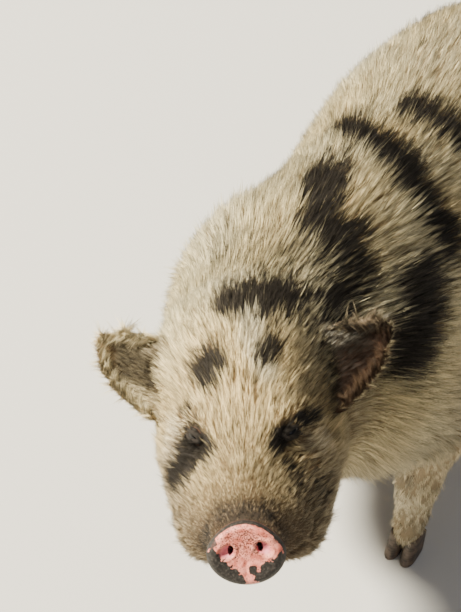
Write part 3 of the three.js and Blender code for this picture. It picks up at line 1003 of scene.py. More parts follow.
    def _set_disc(self, surface: Surface) -> None:
        """Draws the skin on to the disc's form, dishes it and bores the nostrils.

        Args:
            surface: The skin.
        """
        cos, sin = math.cos(self.disc.sizes.lean), math.sin(self.disc.sizes.lean)
        forward = self.head.facing((cos, 0.0, sin))
        to_head = np.array(((cos, 0, -sin), (0, 1, 0), (sin, 0, cos)))
        step = 1e-4
        form = self.disc.distance
        for _ in range(3):
            plane = self._in_plane(surface)
            gap = form(plane)
            ways = step * np.eye(3)
            slope = columns(*[(form(plane + way) - form(plane - way)) / (2 * step) for way in ways])
            move = slope @ to_head.T @ self.head.turn.T
            near = smooth_step(plane[:, 0], -0.005, 0.003) * smooth_step(np.abs(gap), 0.014, 0.010)
            near = near * (self.disc.ring(plane) < 1.35)
            surface.points = surface.points - move * (gap * near)[:, None]
        face = self._dish(surface, forward)
        for side in SIDES:
            self._bore(surface, side, forward, face)

    def _dish(self, surface: Surface, forward: Array) -> Array:
        """Gives the disc its rim, middle line, grain and groove, and says which points face ahead.

        Args:
            surface: The skin.
            forward: The way that the disc faces.

        Returns:
            1 for each point that faces ahead and 0 for those behind.
        """
        s = self.disc.sizes
        plane = self._in_plane(surface)
        ring = self.disc.ring(plane)
        at, width, height = s.rim
        lift = height * bell(ring, at, width) - s.dish_depth * smooth_step(ring, 0.75, 0.2)
        middle = bell(plane[:, 1], 0.0, s.line_width) * smooth_step(plane[:, 2], 0.002, -0.012)
        lift = lift - s.line_depth * middle
        for height, scale, seed in s.grains:
            lift = lift + height * speckle(plane, scale, seed)
        face = smooth_step(plane[:, 0], 0.004, 0.009)
        surface.points = surface.points + forward * (lift * face)[:, None]
        at, width, depth = s.groove
        groove = bell(plane[:, 0], at, width) * smooth_step(ring, 0.7, 0.85)
        groove = groove * (ring < 1.5) * smooth_step(plane[:, 2], -0.034, -0.016)
        surface.points = surface.points - surface.normals() * (depth * groove)[:, None]
        return face

    def _bore(self, surface: Surface, side: int, forward: Array, face: Array) -> None:
        """Sinks one nostril, with a low rim round it.

        Args:
            surface: The skin.
            side: 1 for the left nostril and -1 for the right.
            forward: The way that the disc faces.
            face: 1 for each point that faces ahead and 0 for those behind.
        """
        s = self.disc.sizes
        plane = self._in_plane(surface)
        bowl, hole = self.disc.nostril(plane, side)
        deep = smooth_step(bowl, 1.0, 0.30) * s.bowl_depth + smooth_step(hole, 1.05, 0.45) * s.hole_depth
        at, width, height = s.nostril_rim
        rim = height * bell(bowl, at, width)
        inward = -self.head.facing((math.cos(s.lean), 0.12 * side, math.sin(s.lean) - 0.25))
        here = plane[:, 0] > 0.0
        shift = inward * (deep * here)[:, None] + forward * (rim * face)[:, None]
        surface.points = surface.points + shift

    def _set_folds(self, surface: Surface) -> None:
        """Presses every fold into the skin along a line drawn on to it.

        Args:
            surface: The skin.
        """
        surface.write()
        tree = BVHTree.FromPolygons(
            [v.co for v in surface.mesh.vertices], [list(p.vertices) for p in surface.mesh.polygons]
        )
        normals = surface.normals()
        lift = np.zeros(len(surface.points))
        for fold in FOLDS.values():
            for side in SIDES if fold.both else SIDES[:1]:
                corners = self.head.placed([mirrored(p, side) * MM for p in fold.line])
                pairs = zip(corners, corners[1:])
                dense = [a + (b - a) * t for a, b in pairs for t in (0, 0.25, 0.5, 0.75)]
                line = np.array([tree.find_nearest(Vector(p))[0] for p in [*dense, corners[-1]]])
                ends = [length_of(surface.points - end) for end in (line[0], line[-1])]
                fade = 0.35 + 0.65 * smooth_step(np.minimum(*ends), 0.0, 0.012)
                across = bell(from_line(surface.points, line), 0.0, fold.width * MM)
                lift += fold.height * MM * across * fade
        surface.points = surface.points + normals * lift[:, None]

    def _set_ankles(self, surface: Surface) -> None:
        """Runs each leg's end down into its hooves.

        Args:
            surface: The skin.
        """
        ankle = self.sizes.ankle
        low = smooth_step(surface.points[:, 2], ankle + 0.016, ankle + 0.002)
        surface.points[:, 2] -= self.sizes.ankle_drop * low

    def _set_in(self, surface: Surface) -> None:
        """Moves the skin in by the depth of the coat, so that the hair reaches the solids' form.

        Args:
            surface: The skin.
        """
        shares = self._shares(surface, 6)
        ear_share = shares[:, [PARTS.index(part) for part in EARS]].sum(axis=1)
        depth = shares @ np.array([HAIR[part].depth for part in PARTS])
        depth = depth + (self.sizes.ear_overlap - self.sizes.overlap) * ear_share
        plane = self._in_plane(surface)
        bare = smooth_step(plane[:, 0], -0.012, -0.004) * (self.disc.ring(plane) < 1.4)
        depth = depth * (1.0 - bare) + 0.0002 * bare + self.sizes.overlap
        surface.points = surface.points - surface.normals() * surface.relaxed(depth, 4)[:, None]

    def make(self) -> Skin:
        """Makes the skin, its shares of the parts and its finest folds.

        Returns:
            The skin.
        """
        obj = self._closed_up()
        remeshed(obj, self.sizes.voxel)
        self._keep_largest(obj.data)
        surface = Surface(obj.data)
        self._evened(surface, self._shares(surface, 4))
        surface.write()
        self._refined(obj.data, self._near_head)

        surface = Surface(obj.data)
        fine = self._near_head(surface.points).astype(float)[:, None]
        surface.points = surface.relaxed(surface.points, 5, 0.4 * fine)
        self._set_in(surface)
        surface.write()
        self._refined(obj.data, self._near_features)

        surface = Surface(obj.data)
        fine = self._near_features(surface.points).astype(float)[:, None]
        surface.points = surface.relaxed(surface.points, 4, 0.4 * fine)
        surface.write()
        self._refined(obj.data, self._near_rims)

        surface = Surface(obj.data)
        for step in (self._set_folds, self._set_disc, self._set_lids, self._set_ankles):
            step(surface)
        surface.write()
        with edited(obj.data) as work:
            bmesh.ops.triangulate(work, faces=work.faces)
            bmesh.ops.recalc_face_normals(work, faces=work.faces)
        shade_smooth(obj.data)
        surface = Surface(obj.data)
        log.info("skin: %d triangles", len(obj.data.polygons))
        return Skin(obj, surface, self._shares(surface, 8), self.head.local(surface.points))


# ---- Markings and the lie of the hair ----


class Tint(Enum):
    """Colours of hair, as linear red, green and blue. Three are painted shade for the ears: in their
    hollows, over the left ear and on its rim.
    """

    CREAM = (0.80, 0.70, 0.44)
    GOLDEN = (0.66, 0.48, 0.235)
    GREY = (0.54, 0.50, 0.42)
    BROWN = (0.20, 0.150, 0.100)
    # Painted shade of the ears' hollows, over their own brown.
    UMBER = (0.050, 0.038, 0.022)
    # Painted shade over the left ear, which is turned from the light.
    SOOT = (0.030, 0.014, 0.010)
    DUN = (0.42, 0.35, 0.24)
    FLAX = (0.80, 0.68, 0.44)
    TAN = (0.44, 0.27, 0.12)
    SILVER = (0.74, 0.71, 0.62)
    WHITE = (0.90, 0.83, 0.63)
    # Painted shade on the left ear's rim, dark and reddish.
    RUST = (0.030, 0.012, 0.007)


# The middles of the silver tufts of the cheeks, in millimetres of the head's frame.
CHEEK_TUFTS: tuple[Point, ...] = ((33, 70, 16), (22, -66, 30), (34, -70, 8))
CHEEK_TUFT = 16.0


class Painter:
    """Works out the pigment, tint and hair of each point of the skin."""

    def __init__(self, skin: Skin, head: HeadFrame, maker: SkinMaker) -> None:
        """Reads the skin, and finds its bare disc and the rims of its ears.

        Args:
            skin: The finished skin.
            head: The head's frame.
            maker: The skin's maker, which has the disc and the lids.
        """
        self.skin = skin
        self.head = head
        self.maker = maker
        self.points = skin.surface.points
        self.normals = skin.surface.normals()
        self.plane = maker.disc.plane(skin.head)
        self.bare = self._bareness()
        self.rims, self.rim_out = self._ear_rims()

    def share(self, *parts: Part) -> Array:
        """How far each point belongs to any of some parts."""
        return self.skin.shares[:, [PARTS.index(part) for part in parts]].sum(axis=1)

    def blended(self, field: str) -> Array:
        """One size of the parts' hair, blended over the skin."""
        return self.skin.shares @ np.array([getattr(HAIR[part], field) for part in PARTS])

    def _bareness(self) -> Array:
        """1 on the bare nose disc and 0 on hairy skin.

        Returns:
            One value for each point.
        """
        crown = smooth_step(self.plane[:, 2], -0.016, 0.008)
        start = -0.006 + 0.008 * crown
        ring = self.maker.disc.ring(self.plane)
        return smooth_step(self.plane[:, 0] - start, -0.0015, 0.0015) * (ring < 1.5)

    def _ear_rims(self) -> tuple[Array, Array]:
        """How near each point is to an ear's rim, and the way out across that rim.

        Returns:
            One value and one direction of length 1 for each point.
        """
        out = self.skin.surface.relaxed(self.normals, 9)
        rims = smooth_step(length_of(out), 0.93, 0.55) * self.share(*EARS)
        face = columns(0.73, -0.16 * np.sign(self.skin.head[:, 1]), 0.66) @ self.head.turn.T
        return rims, unit(out - face * (out * face).sum(axis=1)[:, None])

    def _ear_height(self) -> Array:
        """How far each point lies above the middle line of its ear's face.

        Returns:
            The height of each point.
        """
        ahead, aside, up = self.skin.head.T
        across = np.array((-0.66, -0.42, 0.63))
        return (columns(ahead, np.abs(aside), up) - np.array((-0.045, 0.105, 0.062))) @ across

    def pigment(self, seen: Array) -> Array:
        """How dark the markings are at each point, from 0 to 1.

        Args:
            seen: Where the hair that grows from each point is seen, partway to its tip.

        Returns:
            One value for each point.
        """
        clear = 1.0 - np.clip(0.10 + 0.22 * speckle(seen, 11.0, 8.0), 0.0, 0.25)
        ragged = 0.26 * speckle(seen, 34.0, 1.0) + 0.22 * speckle(seen, 90.0, 2.0)
        for spots, points in ((SPOTS, seen), (FACE_SPOTS, self.head.local(seen))):
            for spot in spots.values():
                gap = from_line(points, np.array(spot.line) * MM) / (spot.radius * MM)
                clear *= 1.0 - spot.strength * smooth_step(gap + ragged, 1.65, 0.40)
        plane, bare = self.plane, self.bare
        clear = clear * (1.0 - bare) + bare
        rough = 0.35 * speckle(plane, 200.0, 5.0) + 0.25 * speckle(plane, 520.0, 6.0)
        for left, up, radius, strength in DISC_SPOTS:
            gap = np.hypot(plane[:, 1] / MM - left, plane[:, 2] / MM - up) / radius
            clear *= 1.0 - bare * strength * smooth_step(gap + rough, 1.1, 0.85)
        wall = smooth_step(plane[:, 0] + 0.0016 * rough, 0.0092, 0.0076)
        clear *= 1.0 - 0.9 * wall * bare
        return 1.0 - clear

    def tint(self) -> Array:
        """The colour of the unmarked hair at each point, with painted shade in the ears.

        Returns:
            One colour for each point.
        """
        head, row = self.skin.head, self.points
        face, ears = self.share(*FACE), self.share(*EARS)
        cloud = 0.5 + 0.5 * speckle(row, 14.0, 9.0)
        colour = np.tile(Tint.CREAM.value, (len(row), 1))

        def towards(tint: Tint, share: Array) -> None:
            """Takes the colour some of the way to a tint.

            Args:
                tint: The tint.
                share: How far to go at each point, from 0 to 1.
            """
            nonlocal colour
            share = np.clip(share, 0.0, 1.0)[:, None]
            colour = colour * (1.0 - share) + np.array(tint.value) * share

        towards(Tint.GREY, 0.6 * smooth_step(row[:, 2], 0.44, 0.22) * (1.0 - face))
        towards(Tint.GOLDEN, 0.55 * cloud**2 * (1.0 - face))
        towards(Tint.SILVER, 0.40 * (1.0 - cloud) ** 2 * smooth_step(row[:, 2], 0.36, 0.50))
        towards(Tint.GOLDEN, face * (0.36 + 0.44 * cloud) * smooth_step(head[:, 0], -0.10, 0.0))
        for cheek in CHEEK_TUFTS:
            away = length_of(head - np.array(cheek) * MM)
            towards(Tint.SILVER, 0.5 * face * bell(away, 0.0, CHEEK_TUFT * MM))
        towards(Tint.DUN, 0.7 * face * smooth_step(head[:, 2], 0.012, -0.03))
        aside = smooth_step(np.abs(head[:, 1]), 0.035, 0.065)
        towards(Tint.DUN, 0.42 * face * (aside * smooth_step(head[:, 0], 0.0, 0.04)))
        bridge, muzzle = smooth_step(head[:, 0], 0.03, 0.07), smooth_step(head[:, 0], 0.08, 0.12)
        towards(Tint.BROWN, face * (0.30 * bridge + 0.7 * muzzle))
        blaze = from_line(row, np.array(BLAZE) * MM)
        towards(Tint.WHITE, 0.65 * smooth_step(blaze, 0.018, 0.004))

        inside = ears * smooth_step((self.normals @ self.head.turn)[:, 0], -0.15, 0.35)
        height, rims = self._ear_height(), smooth_step(self.rims, 0.05, 0.6)
        left, right = head[:, 1] > 0, head[:, 1] < 0
        towards(Tint.BROWN, 0.35 * ears)
        # Painted shade in the hollow of each ear, over the ears' own brown, and deeper on the left ear.
        towards(Tint.UMBER, 0.95 * inside)
        towards(Tint.SOOT, 0.9 * inside * left)
        towards(Tint.DUN, 0.55 * inside * right * smooth_step(height, 0.008, 0.020))
        towards(Tint.FLAX, 0.75 * inside * right * smooth_step(height, -0.013, -0.027))
        towards(Tint.SILVER, 0.8 * inside * left * smooth_step(height, 0.008, 0.022))
        towards(Tint.TAN, 0.6 * ears * right * smooth_step(head[:, 1], -0.122, -0.140))
        towards(Tint.FLAX, 0.95 * rims * right)
        # Painted shade on the left ear's rim: dark and reddish, brown along its top.
        towards(Tint.RUST, 0.95 * rims * left)
        towards(Tint.BROWN, 0.8 * rims * left * smooth_step(height, 0.010, 0.022))
        return colour

    def lie(self) -> Array:
        """The way the hair lies at each point, along the skin. It is short where it is unsure.

        Returns:
            One vector for each point.
        """
        head, normals = self.skin.head, self.normals
        side = np.clip(head[:, 1] / 0.08, -1.0, 1.0)
        up = np.clip(head[:, 2] / 0.07, -1.0, 1.0)
        on_head = columns(-1.0, 0.55 * side, 0.30 * up - 0.12)
        for eye in self.head.eyes.values():
            rel = self.points - eye
            near = bell(length_of(rel), 0.0, 0.021)[:, None]
            on_head = on_head * (1.0 - near) + unit(rel @ self.head.turn) * near
        aside, ends = np.abs(normals[:, 0]), np.abs(normals[:, 1])
        ways = {
            FACE: on_head @ self.head.turn.T,
            (Part.NECK,): columns(0.0, 1.0, -0.25 - 0.40 * aside),
            (Part.TRUNK,): columns(0.0, 1.0 - 0.75 * ends, -0.10 - 0.50 * aside - 0.9 * ends),
            LEGS: np.array((0.0, 0.18, -1.0)),
            (Part.TAIL,): np.array((0.0, 0.15, -1.0)),
        }
        for sign, part in zip(SIDES, EARS):
            out = np.array((-0.018, 0.081 * sign, 0.035))
            fan = columns(head[:, 0] + 0.04, 0.0, head[:, 2] - 0.055) * 0.5
            ways[(part,)] = (out + fan) @ self.head.turn.T
        flow = sum(self.share(*parts)[:, None] * unit(way) for parts, way in ways.items())
        flow = self.skin.surface.relaxed(flow, 10)
        flow = flow + self.rim_out * (1.6 * self.rims)[:, None]
        return flow - normals * (flow * normals).sum(axis=1)[:, None]

    def _closed(self) -> Array:
        """1 between the lids, where nothing grows.

        Returns:
            One value for each point.
        """
        closed = np.zeros(len(self.points))
        for side in SIDES:
            opening, near = self.maker.lid_opening(self.points, side)
            closed = np.maximum(closed, near * smooth_step(opening, 0.07, 0.0))
        return closed

    def _hollow(self) -> Array:
        """How deep in a nostril each point is, from 0 to 1; it sets the nostrils' painted shade.

        Returns:
            One value for each point.
        """
        hollow = np.zeros(len(self.points))
        for side in SIDES:
            bowl, hole = self.maker.disc.nostril(self.plane, side)
            dim = 0.5 * smooth_step(bowl, 1.0, 0.45) + 0.5 * smooth_step(hole, 1.15, 0.75)
            hollow = np.maximum(hollow, dim * self.bare)
        return hollow

    def paint(self) -> None:
        """Stores everything on the skin's points."""
        bare, rims, head, height = self.bare, self.rims, self.skin.head, self.points[:, 2]
        face = self.share(*FACE)
        trim = Trim()
        fore = smooth_step(head[:, 0], *trim.muzzle) * face
        near_eye = np.min([length_of(self.points - eye) for eye in self.head.eyes.values()], axis=0)
        edge = rims * smooth_step((self.normals * self.rim_out).sum(axis=1), 0.45, 0.95)
        lie = self.lie()

        length = self.blended("length") * (1.0 + 0.18 * speckle(self.points, 20.0, 4.0))
        length = length * (1.0 - trim.muzzle_cut * face * (1.0 - fore))
        length = length * (0.5 + 0.5 * smooth_step(near_eye, *trim.by_eyes))
        length = length * (0.5 + 0.5 * smooth_step(length_of(lie), 0.1, 0.4))
        length = length * (1.0 + trim.rim_more * rims - trim.rim_more * edge)
        width = self.blended("width") * (0.65 + 0.35 * smooth_step(length, 0.004, 0.014))
        length = length * (1.0 - trim.feet_cut * smooth_step(height, *trim.feet))

        closed = self._closed()
        cover = self.blended("cover") * (1.0 - bare) * (1.0 - closed) * (1.0 + trim.rim_cover * rims)
        cover = cover * (height > trim.bare_below)
        stand = 1.25 + 0.50 * self.share(Part.NECK, Part.TRUNK)
        rise = np.clip(self.blended("depth") * stand / np.maximum(length, 1e-4), 0.0, 0.50)
        on_top = np.hypot(self.plane[:, 1] / 0.030, (self.plane[:, 2] - 0.012) / 0.020)
        lie = unit(lie)
        seen = self.points + lie * (0.6 * length * (1.0 - bare))[:, None]
        stored = {
            "pigment": self.pigment(seen),
            "bare": bare,
            "rim": closed,
            # Where the painted shade at the hair's roots and on the skin below is lifted: the ears' rims,
            # and at a third on the legs.
            "fringe": np.maximum(rims, 0.33 * self.share(*LEGS)),
            "hollow": self._hollow(),
            "grime": bare * smooth_step(on_top, 1.1, 0.4),
            "hair_length": length,
            "hair_width": width,
            "hair_rise": rise + trim.rim_rise * edge,
            "cover": np.clip(cover, 0.0, 4.0),
        }
        mesh = self.skin.obj.data
        for name, values in stored.items():
            set_attribute(mesh, name, values)
        set_attribute(mesh, "tint", self.tint(), "FLOAT_COLOR")
        set_attribute(mesh, "lie", lie, "FLOAT_VECTOR")


# ---- Materials ----


@dataclass(frozen=True)
class Finish:
    """The constants of one surface. They stand on the shader's own sockets."""

    roughness: float
    specular: float = 0.4
    subsurface: float = 0.0


class Graph:
    """Builds a node tree by short calls."""

    def __init__(self, tree: bpy.types.NodeTree) -> None:
        """Takes the tree that it builds in."""
        self.tree = tree

    def feed(self, socket: bpy.types.NodeSocket, value: object) -> None:
        """Sets an input to a number, a name, a colour or a vector, or joins a socket to it.

        Args:
            socket: The input.
            value: What it is set to or joined to.
        """
        if isinstance(value, bpy.types.NodeSocket):
            self.tree.links.new(value, socket)
        elif isinstance(value, tuple):
            socket.default_value = (*value, 1.0)[: len(socket.default_value)]
        else:
            socket.default_value = value

    def add(self, kind: str, feeds: dict | None = None, **settings: object) -> bpy.types.Node:
        """Adds a node.

        Args:
            kind: The type of the node.
            feeds: What each input is set to or joined to.
            settings: The node's own properties.

        Returns:
            The node.
        """
        node = self.tree.nodes.new(kind)
        for name, value in settings.items():
            setattr(node, name, value)
        for name, value in (feeds or {}).items():
            self.feed(node.inputs[name], value)
        return node

    def maths(self, how: str, *values: object) -> bpy.types.NodeSocket:
        """A sum of sockets or numbers."""
        return self.add("ShaderNodeMath", dict(enumerate(values)), operation=how).outputs[0]

    def times(self, product: object, *others: object) -> bpy.types.NodeSocket:
        """The product of some sockets or numbers.

        Args:
            product: The first of them.
            others: The rest.

        Returns:
            The socket of the product.
        """
        for other in others:
            product = self.maths("MULTIPLY", product, other)
        return product


class Shading(Graph):
    """A material: one shader with its constants, and what feeds it."""

    def __init__(self, name: str, finish: Finish) -> None:
        """Makes the material and its shader.

        Args:
            name: The material's name.
            finish: The shader's constants.
        """
        self.material = bpy.data.materials.new(name)
        self.material.use_nodes = True
        super().__init__(self.material.node_tree)
        self.tree.nodes.clear()
        constants = {
            "Roughness": finish.roughness,
            "Specular IOR Level": finish.specular,
            "Subsurface Weight": finish.subsurface,
            "Subsurface Radius": (0.004, 0.0018, 0.001),
            "Subsurface Scale": 1.0,
        }
        self.shader = self.add("ShaderNodeBsdfPrincipled", constants)
        self.add("ShaderNodeOutputMaterial", {"Surface": self.shader.outputs["BSDF"]})

    def colour(self, value: object) -> None:
        """Sets the shader's colour."""
        self.feed(self.shader.inputs["Base Color"], value)

    def read(self, name: str, output: str = "Fac") -> bpy.types.NodeSocket:
        """An attribute of the piece's own mesh."""
        return self.add("ShaderNodeAttribute", attribute_name=name).outputs[output]

    def place(self) -> bpy.types.NodeSocket:
        """The place on the object."""
        return self.add("ShaderNodeTexCoord").outputs["Object"]

    def noise(self, scale: float, detail: float = 3.0) -> bpy.types.NodeSocket:
        """Noise over the object, about 0.5."""
        feeds = {"Scale": scale, "Detail": detail, "Vector": self.place()}
        return self.add("ShaderNodeTexNoise", feeds).outputs["Fac"]

    def ramp(self, value: bpy.types.NodeSocket, start: float, end: float) -> bpy.types.NodeSocket:
        """Rises softly from 0 at start to 1 at end."""
        feeds = {"Value": value, "From Min": start, "From Max": end}
        return self.add("ShaderNodeMapRange", feeds, interpolation_type="SMOOTHSTEP").outputs["Result"]

    def mix(self, share: object, first: object, second: object, how: str = "MIX") -> bpy.types.NodeSocket:
        """Two colours mixed by a share of the second."""
        feeds = {"Factor": share, 6: first, 7: second}
        return self.add("ShaderNodeMix", feeds, data_type="RGBA", blend_type=how).outputs[2]

    def shaded(self, first: object, second: object) -> bpy.types.NodeSocket:
        """One colour multiplied by another."""
        return self.mix(1.0, first, second, "MULTIPLY")

    def bump(self, height: bpy.types.NodeSocket, distance: float, strength: float) -> None:
        """Gives the shader a bump."""
        feeds = {"Distance": distance, "Strength": strength, "Height": height}
        self.feed(self.shader.inputs["Normal"], self.add("ShaderNodeBump", feeds).outputs["Normal"])


DARK_HAIR = (0.016, 0.013, 0.010)
GREY_HAIR = (0.100, 0.084, 0.066)
DARK_SKIN = (0.020, 0.016, 0.013)
LID_EDGE = (0.022, 0.014, 0.011)


def coat_material() -> bpy.types.Material:
    """Bristles: pale or dark by the skin's pigment at the root and their own chance; darker near the root
    as painted shade.

    Returns:
        The material.
    """
    n = Shading("coat_bristles", Finish(roughness=0.52, specular=0.13))
    chance, along, strand, pigment = (n.read(name) for name in ("chance", "along", "strand", "pigment"))
    luck = n.maths("ADD", n.times(chance, 0.75), n.times(strand, 0.25))
    dark = n.ramp(n.maths("ADD", pigment, n.times(n.maths("SUBTRACT", luck, 0.5), 0.9)), 0.42, 0.58)
    lock = n.maths("FRACT", n.times(chance, 7.31))
    light = n.maths("POWER", n.maths("ADD", n.times(lock, 0.82), n.times(strand, 0.18)), 0.72)
    pale = n.shaded(n.read("tint", "Color"), n.mix(light, (0.10, 0.09, 0.07), (1.48, 1.47, 1.42)))
    # Painted shade at the roots: each bristle darkens towards its root, less so on the ears' rims and the
    # legs.
    free = n.maths("ADD", n.ramp(along, 0.0, 0.55), n.ramp(n.read("fringe"), 0.05, 0.45))
    pale = n.shaded(pale, n.mix(n.maths("MINIMUM", free, 1.0), (0.30, 0.24, 0.18), (1.0, 1.0, 1.0)))
    mixed = n.maths("SUBTRACT", 1.0, n.ramp(pigment, 0.90, 0.98))
    grey = n.times(light, n.ramp(along, 0.2, 1.0), mixed)
    n.colour(n.mix(dark, pale, n.mix(grey, DARK_HAIR, GREY_HAIR)))
    return n.material


def skin_material() -> bpy.types.Material:
    """Skin: as the coat above it where it is hairy, with painted shade under the coat; bare, pink and moist
    on the disc, with painted shade in the nostrils.

    Returns:
        The material.
    """
    n = Shading("skin", Finish(roughness=0.55, specular=0.30, subsurface=0.06))
    pigment, bare, hollow = n.read("pigment"), n.read("bare"), n.read("hollow")
    fine = n.noise(900.0)
    flesh = n.shaded(n.read("tint", "Color"), (0.60, 0.55, 0.50))
    flesh = n.mix(1.0, flesh, (0.012, 0.008, 0.006), "ADD")
    # Painted shade under the coat: the skin's own colour is darkened in fine streaks, less so on the ears'
    # rims and partly on the legs.
    undercoat_shade = n.mix(n.ramp(fine, 0.35, 0.65), (0.24, 0.21, 0.18), (0.52, 0.48, 0.42))
    undercoat_shade = n.mix(n.ramp(n.read("fringe"), 0.1, 0.6), undercoat_shade, (0.95, 0.93, 0.90))
    hairy = n.mix(n.ramp(pigment, 0.3, 0.7), n.shaded(flesh, undercoat_shade), DARK_SKIN)

    pink = n.mix(n.ramp(n.noise(160.0), 0.35, 0.65), (0.54, 0.140, 0.100), (0.80, 0.285, 0.215))
    specks = n.ramp(n.maths("ADD", n.noise(760.0, 4.0), n.times(n.read("grime"), 0.10)), 0.60, 0.65)
    pink = n.mix(n.times(specks, 0.9), pink, (0.060, 0.026, 0.016))
    dusky = n.mix(n.ramp(n.noise(420.0), 0.45, 0.75), (0.016, 0.013, 0.011), (0.056, 0.046, 0.041))
    disc = n.mix(n.ramp(pigment, 0.35, 0.65), pink, dusky)
    # Painted shade in the nostrils: deeper red partway in, partly the moist lining's own colour, and near
    # black at the bottom.
    disc = n.mix(n.ramp(hollow, 0.05, 0.50), disc, (0.66, 0.19, 0.22))
    disc = n.mix(n.ramp(hollow, 0.62, 0.92), disc, (0.030, 0.006, 0.007))
    n.colour(n.mix(n.read("rim"), n.mix(bare, hairy, disc), LID_EDGE))

    moist = n.times(bare, n.maths("SUBTRACT", 1.0, n.times(pigment, 0.45)))
    rough = n.add("ShaderNodeMapRange", {"Value": moist, "To Min": 0.90, "To Max": 0.33})
    n.feed(n.shader.inputs["Roughness"], rough.outputs["Result"])
    n.bump(n.maths("ADD", fine, n.noise(2200.0)), 0.0004, 0.6)
    return n.material


def eye_material() -> bpy.types.Material:
    """A wet eye: dark iris round a darker pupil, with a brownish white at the corners.

    Returns:
        The material.
    """
    n = Shading("wet_eye", Finish(roughness=0.10, specular=0.35))
    ring = n.read("ring")
    iris = n.mix(n.ramp(n.noise(1500.0), 0.35, 0.7), (0.035, 0.016, 0.008), (0.10, 0.045, 0.018))
    iris = n.mix(n.ramp(ring, 0.42, 0.36), iris, (0.004, 0.003, 0.003))
    white = n.mix(n.ramp(n.noise(700.0), 0.4, 0.7), (0.060, 0.032, 0.022), (0.11, 0.065, 0.045))
    n.colour(n.mix(n.ramp(ring, 0.66, 0.72), iris, white))
    return n.material


def hoof_material() -> bpy.types.Material:
    """Dull horn with faint, paler growth lines.

    Returns:
        The material.
    """
    n = Shading("horn", Finish(roughness=0.5, specular=0.4))
    feeds = {"Scale": 90.0, "Distortion": 3.0, "Vector": n.place()}
    wave = n.add("ShaderNodeTexWave", feeds, bands_direction="Z").outputs["Fac"]
    horn = n.mix(n.ramp(n.noise(120.0), 0.35, 0.7), (0.050, 0.036, 0.027), (0.15, 0.105, 0.075))
    n.colour(n.mix(n.times(wave, 0.16), horn, (0.20, 0.15, 0.11)))
    n.bump(wave, 0.0004, 0.3)
    return n.material


# ---- Eyes and hooves ----


def make_eyes(head: HeadFrame, maker: SkinMaker, material: bpy.types.Material) -> None:
    """A glossy ball with a bulging cornea for each eye.

    Args:
        head: The head's frame, which has the middles of the eyes.
        maker: The skin's maker, which has the directions of the eyes.
        material: The finish of a wet eye.
    """
    sizes = EyeSizes()
    for side, name in zip(SIDES, ("left", "right")):
        mesh = bpy.data.meshes.new(f"eyeball_{name}")
        with edited(mesh) as ball:
            bmesh.ops.create_uvsphere(ball, u_segments=48, v_segments=32, radius=1.0)
        surface = Surface(mesh)
        x, y, z = surface.points.T
        angle = np.arccos(np.clip(z, -1.0, 1.0))
        radius = sizes.radius + sizes.cornea * smooth_step(angle, 0.72, 0.30)
        set_attribute(mesh, "ring", np.where(z > 0, np.hypot(x / 1.12, y / 0.92), 1.0))
        out, corner, up = maker.eye_axes(side)
        turn = columns(corner, up, out)
        surface.points = head.eyes[side] + (surface.points * radius[:, None]) @ turn.T
        surface.write()
        if np.linalg.det(turn) < 0:
            mesh.flip_normals()
        shade_smooth(mesh)
        mesh.materials.append(material)
        obj = new_object(f"eyeball_{name}", mesh)
        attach(obj, "root")
        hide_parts(f"eye_{name}")
        log.info("eye %s: %d faces", name, len(mesh.polygons))


@dataclass(frozen=True)
class FootSizes:
    """How the horn of a foot is rounded, and the height of its top. Lengths in metres."""

    voxel: float = 0.0014
    rounds: int = 10
    sole: float = 0.0012
    top: tuple[float, float] = (0.024, 0.034)
    above: float = 0.0345
    raised: float = 0.003


def make_feet(nodes: dict[str, bpy.types.Object], material: bpy.types.Material) -> None:
    """Rounded horn for each foot, from its hooves and dewclaws.

    Args:
        nodes: The solids by name.
        material: The finish of the horn.
    """
    s = FootSizes()
    for leg in ("front_left", "front_right", "hind_left", "hind_right"):
        names = [f"{kind}_{leg}_{which}" for kind in ("hoof", "dewclaw") for which in ("outer", "inner")]
        mesh = bpy.data.meshes.new(f"foot_{leg}")
        with edited(mesh) as whole:
            for name in names:
                whole.from_mesh(nodes[name].data)
            bmesh.ops.remove_doubles(whole, verts=whole.verts, dist=1e-5)
        obj = new_object(f"foot_{leg}", mesh)
        remeshed(obj, s.voxel)
        surface = Surface(obj.data)
        sole = surface.points[:, 2] < s.sole
        surface.points = surface.relaxed(surface.points, s.rounds)
        height = np.where(sole, 0.0, np.maximum(surface.points[:, 2], 0.0))
        top = smooth_step(height, *s.top) * (height < s.above)
        surface.points[:, 2] = height + s.raised * top
        surface.write()
        shade_smooth(obj.data)
        obj.data.materials.append(material)
        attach(obj, "root")
        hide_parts(*names)
        log.info("foot %s: %d faces", leg, len(obj.data.polygons))


# ---- Coat ----


@dataclass(frozen=True)
class CoatPiece:
    """One piece of the coat.

    Attributes:
        name: Of the piece.
        tufts: How many it has.
        seed: Of its scatter.
        parts: Where it grows.
        fore: Whether only on their fore end, or only behind it.
        left: Whether only on the left side, or only on the right.
    """

    name: str
    tufts: int
    seed: int
    parts: tuple[Part, ...]
    fore: bool | None = None
    left: bool | None = None

    def grows(self, shares: Array, head: Array, points: Array) -> Array:
        """Which faces of the skin it grows on.

        Args:
            shares: A row for each face, with one share for each part.
            head: The middles of the faces in the head's frame.
            points: The middles of the faces in the row's frame.

        Returns:
            True for each face that it grows on.
        """
        chosen = np.isin(shares.argmax(axis=1), [PARTS.index(part) for part in self.parts])
        ahead = head[:, 0] > FACE_STARTS if self.parts == FACE else points[:, 1] < FORE_ENDS
        if self.fore is not None:
            chosen &= ahead == self.fore
        if self.left is not None:
            chosen &= (points[:, 0] >= 0) == self.left
        return chosen


